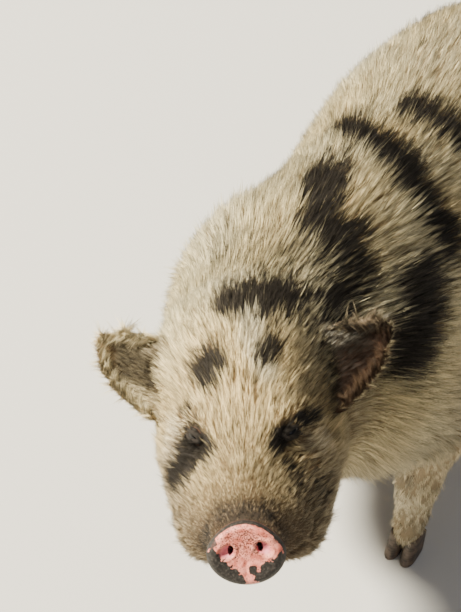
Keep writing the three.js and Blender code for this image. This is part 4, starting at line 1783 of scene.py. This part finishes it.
FACE_STARTS = 0.010  # ahead of the middle of the head's frame
FORE_ENDS = 0.1  # behind the middle of the body
COAT: tuple[CoatPiece, ...] = (
    CoatPiece("coat_face", 7950, 11, FACE, fore=True),
    CoatPiece("coat_head", 8200, 12, FACE, fore=False),
    CoatPiece("coat_ears", 4600, 13, EARS),
    CoatPiece("coat_neck", 7400, 14, (Part.NECK,)),
    CoatPiece("coat_fore_left", 7600, 15, (Part.TRUNK,), fore=True, left=True),
    CoatPiece("coat_fore_right", 7600, 16, (Part.TRUNK,), fore=True, left=False),
    CoatPiece("coat_rear_left", 5900, 17, (Part.TRUNK,), fore=False, left=True),
    CoatPiece("coat_rear_right", 5900, 18, (Part.TRUNK,), fore=False, left=False),
    CoatPiece("coat_legs", 5600, 19, LEGS),
    CoatPiece("coat_tail", 700, 20, (Part.TAIL,)),
)
PATCH = 0.003  # across one tuft's patch on the coat's map
HIGHEST = 0.0155  # that any tuft stands above the skin
KEPT = (
    *("position", "tint", "pigment", "fringe", "chance", "strand", "along"),
    *("OFBake", "material_index", "sharp_face"),
)


@dataclass(frozen=True)
class TuftShape:
    """A tuft of bristles in units of their length, width and rise."""

    bristles: int = 6
    variants: int = 8
    apart: float = 1.6
    scatter: float = 0.30
    root: float = -0.22


class TuftMaker:
    """Makes the few tufts from which the coat is scattered.

    A tuft's X is along the hair in hair lengths, Y across in hair widths, and Z away from the
    skin in rises. Each bristle is a closed spike: three corners at its root and a tip.
    """

    def __init__(self, shape: TuftShape) -> None:
        """Takes the shape of a tuft and starts its own random draws."""
        self.shape = shape
        self.random = np.random.default_rng(5)

    def _bristle(self, index: int) -> list[Point]:
        """The four points of one bristle: three at the root and then the tip.

        Args:
            index: The place of the bristle in its tuft, from 0.

        Returns:
            The four points.
        """
        s, draw = self.shape, self.random.uniform
        x = draw(-s.scatter, s.scatter)
        y = (index - (s.bristles - 1) / 2) * s.apart + draw(-0.6, 0.6)
        length, rise = draw(0.72, 1.06), draw(0.60, 1.05)
        tip_y = y * draw(0.1, 0.6) + draw(-0.7, 0.7)
        return [
            (x, y - 0.5, s.root),
            (x, y + 0.5, s.root),
            (x + 0.10, y, s.root + 0.16),
            (x + length, tip_y, rise),
        ]

    def make(self) -> bpy.types.Collection:
        """The tufts in a collection of their own that isn't shown.

        Returns:
            The collection.
        """
        box = bpy.data.collections.new("tufts")
        count = self.shape.bristles
        for variant in range(self.shape.variants):
            points: list[Point] = []
            faces: list[tuple[int, ...]] = []
            patch: list[Point] = []
            for index in range(count):
                a, b, c, tip = range(4 * index, 4 * index + 4)
                points += self._bristle(index)
                faces += [(a, c, b), (a, b, tip), (b, c, tip), (c, a, tip)]
                column = (index + 0.5) / count - 0.5
                patch += [(column + aside, -0.5, 0.0) for aside in (-0.06, 0.06, 0.0)]
                patch.append((column, 0.5, 0.0))
            mesh = bpy.data.meshes.new(f"tuft_{variant}")
            mesh.from_pydata(points, [], faces)
            strand = np.repeat(self.random.uniform(0.0, 1.0, count), 4)
            set_attribute(mesh, "along", np.tile((0.0, 0.0, 0.0, 1.0), count))
            set_attribute(mesh, "strand", strand)
            set_attribute(mesh, "patch", np.array(patch), "FLOAT_VECTOR")
            shade_smooth(mesh)
            box.objects.link(bpy.data.objects.new(f"tuft_{variant}", mesh))
        return box


class CoatTree(Graph):
    """The node tree that grows tufts on a patch of skin."""

    def __init__(self) -> None:
        """Names the inputs of the tree and builds it."""
        super().__init__(bpy.data.node_groups.new("GrowCoat", "GeometryNodeTree"))
        self.growth = Growth()
        face = self.tree.interface
        for way in ("INPUT", "OUTPUT"):
            face.new_socket("Geometry", in_out=way, socket_type="NodeSocketGeometry")
        for name, kind in (
            ("Tufts", "NodeSocketCollection"),
            ("Density", "NodeSocketFloat"),
            ("Seed", "NodeSocketInt"),
            ("Material", "NodeSocketMaterial"),
        ):
            face.new_socket(name, in_out="INPUT", socket_type=kind)
        self._build()

    def _named(self, name: str, kind: str = "FLOAT") -> bpy.types.NodeSocket:
        """A named attribute of the skin."""
        node = self.add("GeometryNodeInputNamedAttribute", {"Name": name}, data_type=kind)
        return node.outputs["Attribute"]

    def _random(self, low: object, high: object, seed: int, kind: str = "FLOAT") -> bpy.types.NodeSocket:
        """A chance value for each tuft.

        Args:
            low: The least value.
            high: The greatest value.
            seed: Sets this chance apart from the others.
            kind: The type of the value.

        Returns:
            The socket of the value.
        """
        least, most, result = {"FLOAT": (2, 3, 1), "FLOAT_VECTOR": (0, 1, 0), "INT": (4, 5, 2)}[kind]
        feeds = {least: low, most: high, "Seed": seed}
        return self.add("FunctionNodeRandomValue", feeds, data_type=kind).outputs[result]

    def _vector(self, how: str, first: bpy.types.NodeSocket, second: object) -> bpy.types.NodeSocket:
        """A sum of two vectors, or of a vector and a number."""
        feeds = {0: first, 3 if how == "SCALE" else 1: second}
        return self.add("ShaderNodeVectorMath", feeds, operation=how).outputs[0]

    def _stored(self, geometry: object, name: str, value: object, **settings: str) -> bpy.types.NodeSocket:
        """The geometry, with a named attribute stored on it."""
        feeds = {"Geometry": geometry, "Name": name, "Value": value}
        return self.add("GeometryNodeStoreNamedAttribute", feeds, **settings).outputs["Geometry"]

    def _combed(self, normal: bpy.types.NodeSocket) -> bpy.types.NodeSocket:
        """The turn of each tuft: upright on the skin, and along the lie of the hair with some stray.

        Args:
            normal: The socket of the skin's normal.

        Returns:
            The socket of the turn.
        """
        g = self.growth
        waves = self.add("ShaderNodeTexNoise", {"Scale": g.wave_scale, "Detail": 1.5})
        waves = self._vector("SUBTRACT", waves.outputs["Color"], (0.5, 0.5, 0.5))
        waves = self._vector("SCALE", waves, g.wave)
        way = self._vector("ADD", self._named("lie", "FLOAT_VECTOR"), waves)
        stray = self._random((-g.stray,) * 3, (g.stray,) * 3, 3, "FLOAT_VECTOR")
        way = self._vector("ADD", way, stray)
        upright = self.add("FunctionNodeAlignRotationToVector", {"Vector": normal}, axis="Z")
        feeds = {"Rotation": upright.outputs["Rotation"], "Vector": way}
        combed = self.add("FunctionNodeAlignRotationToVector", feeds, axis="X", pivot_axis="Z")
        return combed.outputs["Rotation"]

    def _sized(self) -> bpy.types.NodeSocket:
        """The length, width and height of each tuft. A few are longer and stand higher.

        Returns:
            The socket of the size.
        """
        g = self.growth
        loose = self.maths("GREATER_THAN", self._random(0.0, 1.0, 10), 1.0 - g.loose)
        more = self.maths("MULTIPLY_ADD", loose, g.more, 1.0)
        length = self.times(self._named("hair_length"), self._random(*g.spread, 5), more)
        height = self.times(length, self._named("hair_rise"), self._random(*g.heights, 6), more)
        width = self.times(self._named("hair_width"), self._random(*g.spread, 7))
        feeds = {"X": length, "Y": width, "Z": self.maths("MINIMUM", height, HIGHEST)}
        return self.add("ShaderNodeCombineXYZ", feeds).outputs["Vector"]

    def _build(self) -> None:
        """Scatters, turns and sizes the tufts, and gives each its chance and its patch."""
        given = self.add("NodeGroupInput").outputs
        density = self.times(self._named("cover"), given["Density"])
        feeds = {"Mesh": given["Geometry"], "Density": density, "Seed": given["Seed"]}
        scatter = self.add("GeometryNodeDistributePointsOnFaces", feeds, distribute_method="RANDOM").outputs
        feeds = {"Collection": given["Tufts"], "Separate Children": True, "Reset Children": True}
        tufts = self.add("GeometryNodeCollectionInfo", feeds, transform_space="ORIGINAL")
        feeds = {
            "Points": scatter["Points"],
            "Instance": tufts.outputs["Instances"],
            "Pick Instance": True,
            "Instance Index": self._random(0, TuftShape().variants - 1, 8, "INT"),
            "Rotation": self._combed(scatter["Normal"]),
            "Scale": self._sized(),
        }
        placed = self.add("GeometryNodeInstanceOnPoints", feeds).outputs["Instances"]
        chance = self._random(0.0, 1.0, 9)
        placed = self._stored(placed, "chance", chance, data_type="FLOAT", domain="INSTANCE")
        real = self.add("GeometryNodeRealizeInstances", {"Geometry": placed}).outputs["Geometry"]
        patch = self._vector("SCALE", self._named("patch", "FLOAT_VECTOR"), PATCH)
        spot = self._vector("ADD", self._named("root", "FLOAT_VECTOR"), patch)
        real = self._stored(real, "OFBake", spot, data_type="FLOAT2", domain="CORNER")
        finish = self.add("GeometryNodeSetMaterial", {"Geometry": real, "Material": given["Material"]})
        self.add("NodeGroupOutput", {"Geometry": finish.outputs["Geometry"]})

    def grow(self, obj: bpy.types.Object, values: dict[str, object]) -> None:
        """Turns a patch of skin into a plain mesh of tufts.

        Args:
            obj: The patch of skin.
            values: What each input is set to.
        """
        modifier = obj.modifiers.new("GrowCoat", "NODES")
        modifier.node_group = self.tree
        for item in self.tree.interface.items_tree:
            if item.in_out == "INPUT" and item.name in values:
                modifier[item.identifier] = values[item.name]
        made_plain(obj)


def unwrapped(mesh: bpy.types.Mesh, parts: Array) -> None:
    """Lays a patch of skin out flat, as charts by part and facing, in a corner map named root.

    Args:
        mesh: The patch of skin.
        parts: The number of the part that each face belongs to.
    """
    count = len(mesh.polygons)
    normals = read(mesh.polygons, "normal", 3)
    main = np.abs(normals).argmax(axis=1)
    sign = normals[np.arange(count), main] > 0
    charts = parts * 6 + main * 2 + sign
    corners = read(mesh.loops, "vertex_index", kind=int)
    points = read(mesh.vertices, "co", 3)[corners]
    owner = np.repeat(np.arange(count), 3)
    placed = np.zeros((len(corners), 3))
    blocks = []
    for chart in np.unique(charts):
        mine = charts[owner] == chart
        axes = [axis for axis in range(3) if axis != (chart % 6) // 2]
        spot = points[mine][:, axes]
        low = spot.min(axis=0)
        blocks.append((mine, spot - low, spot.max(axis=0) - low))
    gap = 0.004
    total = sum((size[0] + gap) * (size[1] + gap) for _, _, size in blocks)
    width = max(math.sqrt(total) * 1.1, max(size[0] for _, _, size in blocks) + gap)
    x = y = row = 0.0
    for mine, spot, size in sorted(blocks, key=lambda block: -block[2][1]):
        if x + size[0] > width:
            x, y, row = 0.0, y + row + gap, 0.0
        placed[mine, :2] = spot + (x, y)
        x += size[0] + gap
        row = max(row, size[1])
    placed /= max(width, y + row)
    placed = PATCH + placed * (1.0 - 2.0 * PATCH)
    layer = mesh.attributes.new("root", "FLOAT_VECTOR", "CORNER")
    placed[:, 2] = 0.0
    layer.data.foreach_set("vector", placed.astype(np.float32).ravel())


class CoatMaker:
    """Grows the coat, piece by piece, on copies of the skin's patches."""

    def __init__(self, skin: Skin) -> None:
        """Makes the tufts, and reads the faces that they grow on.

        Args:
            skin: The finished skin.
        """
        self.skin = skin
        self.tree = CoatTree()
        self.tufts = TuftMaker(TuftShape()).make()
        self.material = coat_material()
        mesh = skin.obj.data
        corners = read(mesh.polygons, "vertices", 3, int)
        self.shares, self.head, self.middles, cover = (
            values[corners].mean(axis=1)
            for values in (
                skin.shares,
                skin.head,
                skin.surface.points,
                read(mesh.attributes["cover"].data, "value"),
            )
        )
        self.weight = read(mesh.polygons, "area") * cover

    def _patch(self, name: str, chosen: Array) -> bpy.types.Object:
        """A copy of the chosen faces of the skin.

        Args:
            name: The name of the patch.
            chosen: True for each face to keep.

        Returns:
            The object of the patch.
        """
        mesh = self.skin.obj.data.copy()
        mesh.name = name
        mesh.materials.clear()
        with edited(mesh) as work:
            gone = [work.faces[index] for index in np.nonzero(~chosen)[0]]
            bmesh.ops.delete(work, geom=gone, context="FACES")
        return new_object(name, mesh)

    def grow(self, piece: CoatPiece) -> None:
        """Grows one piece of the coat.

        Args:
            piece: The piece to grow.
        """
        chosen = piece.grows(self.shares, self.head, self.middles)
        obj = self._patch(piece.name, chosen)
        unwrapped(obj.data, self.shares[chosen].argmax(axis=1))
        tufts = piece.tufts * 1.0
        density = tufts / max(self.weight[chosen].sum(), 1e-9)
        values = {"Tufts": self.tufts, "Density": density, "Seed": piece.seed, "Material": self.material}
        self.tree.grow(obj, values)
        mesh = obj.data
        for name in [attribute.name for attribute in mesh.attributes]:
            if name not in KEPT and not name.startswith("."):
                mesh.attributes.remove(mesh.attributes[name])
        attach(obj, "root")
        log.info("%s: %d triangles", piece.name, len(mesh.polygons))


# ---- Stage ----


def make_floor() -> None:
    """A wide, plain, pale floor."""
    mesh = bpy.data.meshes.new("floor")
    half = 60.0
    mesh.from_pydata(
        [(-half, -half, 0), (half, -half, 0), (half, half, 0), (-half, half, 0)], [], [(0, 1, 2, 3)]
    )
    n = Shading("floor", Finish(roughness=0.8, specular=0.2))
    n.colour((0.62, 0.60, 0.57))
    mesh.materials.append(n.material)
    new_object("floor", mesh)


@dataclass(frozen=True)
class Lamp:
    """A soft lamp that faces the pig."""

    way: Point
    distance: float
    size: float
    power: float
    colour: Point = (1.0, 1.0, 1.0)


LAMPS: dict[str, Lamp] = {
    "key": Lamp((-0.63, -0.31, 0.78), 15.0, 2.7, 11000.0, (1.0, 0.94, 0.77)),
    "fill": Lamp((0.80, -0.70, 0.55), 3.0, 2.4, 9.0, (0.93, 0.96, 1.0)),
    "back": Lamp((0.25, 0.85, 0.75), 3.0, 1.8, 12.0),
}


def make_lights() -> None:
    """Soft lamps round the pig under a pale sky."""
    aim = Vector((0.0, -0.1, 0.30))
    for name, lamp in LAMPS.items():
        data = bpy.data.lights.new(name, "AREA")
        data.shape = "DISK"
        data.size = lamp.size
        data.energy = lamp.power
        data.color = lamp.colour
        obj = bpy.data.objects.new(name, data)
        bpy.context.scene.collection.objects.link(obj)
        way = Vector(lamp.way).normalized()
        obj.location = aim + way * lamp.distance
        obj.rotation_euler = way.to_track_quat("Z", "Y").to_euler()
    world = bpy.data.worlds.new("studio")
    bpy.context.scene.world = world
    world.use_nodes = True
    sky = world.node_tree.nodes["Background"]
    sky.inputs["Color"].default_value = (0.86, 0.90, 1.0, 1.0)
    sky.inputs["Strength"].default_value = 0.17


def make_camera() -> None:
    """The camera, steeply above the pig's left front."""
    sizes = CameraSizes()
    data = bpy.data.cameras.new("camera")
    data.lens = sizes.lens
    data.sensor_width = sizes.sensor
    data.sensor_fit = "AUTO"
    camera = bpy.data.objects.new("camera", data)
    bpy.context.scene.collection.objects.link(camera)
    azimuth, elevation = math.radians(sizes.azimuth), math.radians(sizes.elevation)
    level = math.cos(elevation)
    back = Vector((math.sin(azimuth) * level, -math.cos(azimuth) * level, math.sin(elevation)))
    right = Vector((math.cos(azimuth), math.sin(azimuth), 0.0))
    turn = Matrix((right, back.cross(right), back)).transposed()
    camera.matrix_world = Matrix.Translation(Vector(sizes.place)) @ turn.to_4x4()
    bpy.context.scene.camera = camera


def main() -> None:
    """Builds the pig and its stage."""
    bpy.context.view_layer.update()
    nodes = frame["nodes"]
    head = HeadFrame(HeadPose())
    maker = SkinMaker(nodes, head)
    skin = maker.make()
    Painter(skin, head, maker).paint()
    skin.obj.data.materials.clear()
    skin.obj.data.materials.append(skin_material())
    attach(skin.obj, "root")
    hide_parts(*[part.value for part in PARTS])
    make_eyes(head, maker, eye_material())
    make_feet(nodes, hoof_material())
    coat = CoatMaker(skin)
    for piece in COAT:
        coat.grow(piece)
    make_floor()
    make_lights()
    make_camera()
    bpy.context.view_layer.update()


if __name__ == "__main__":
    main()
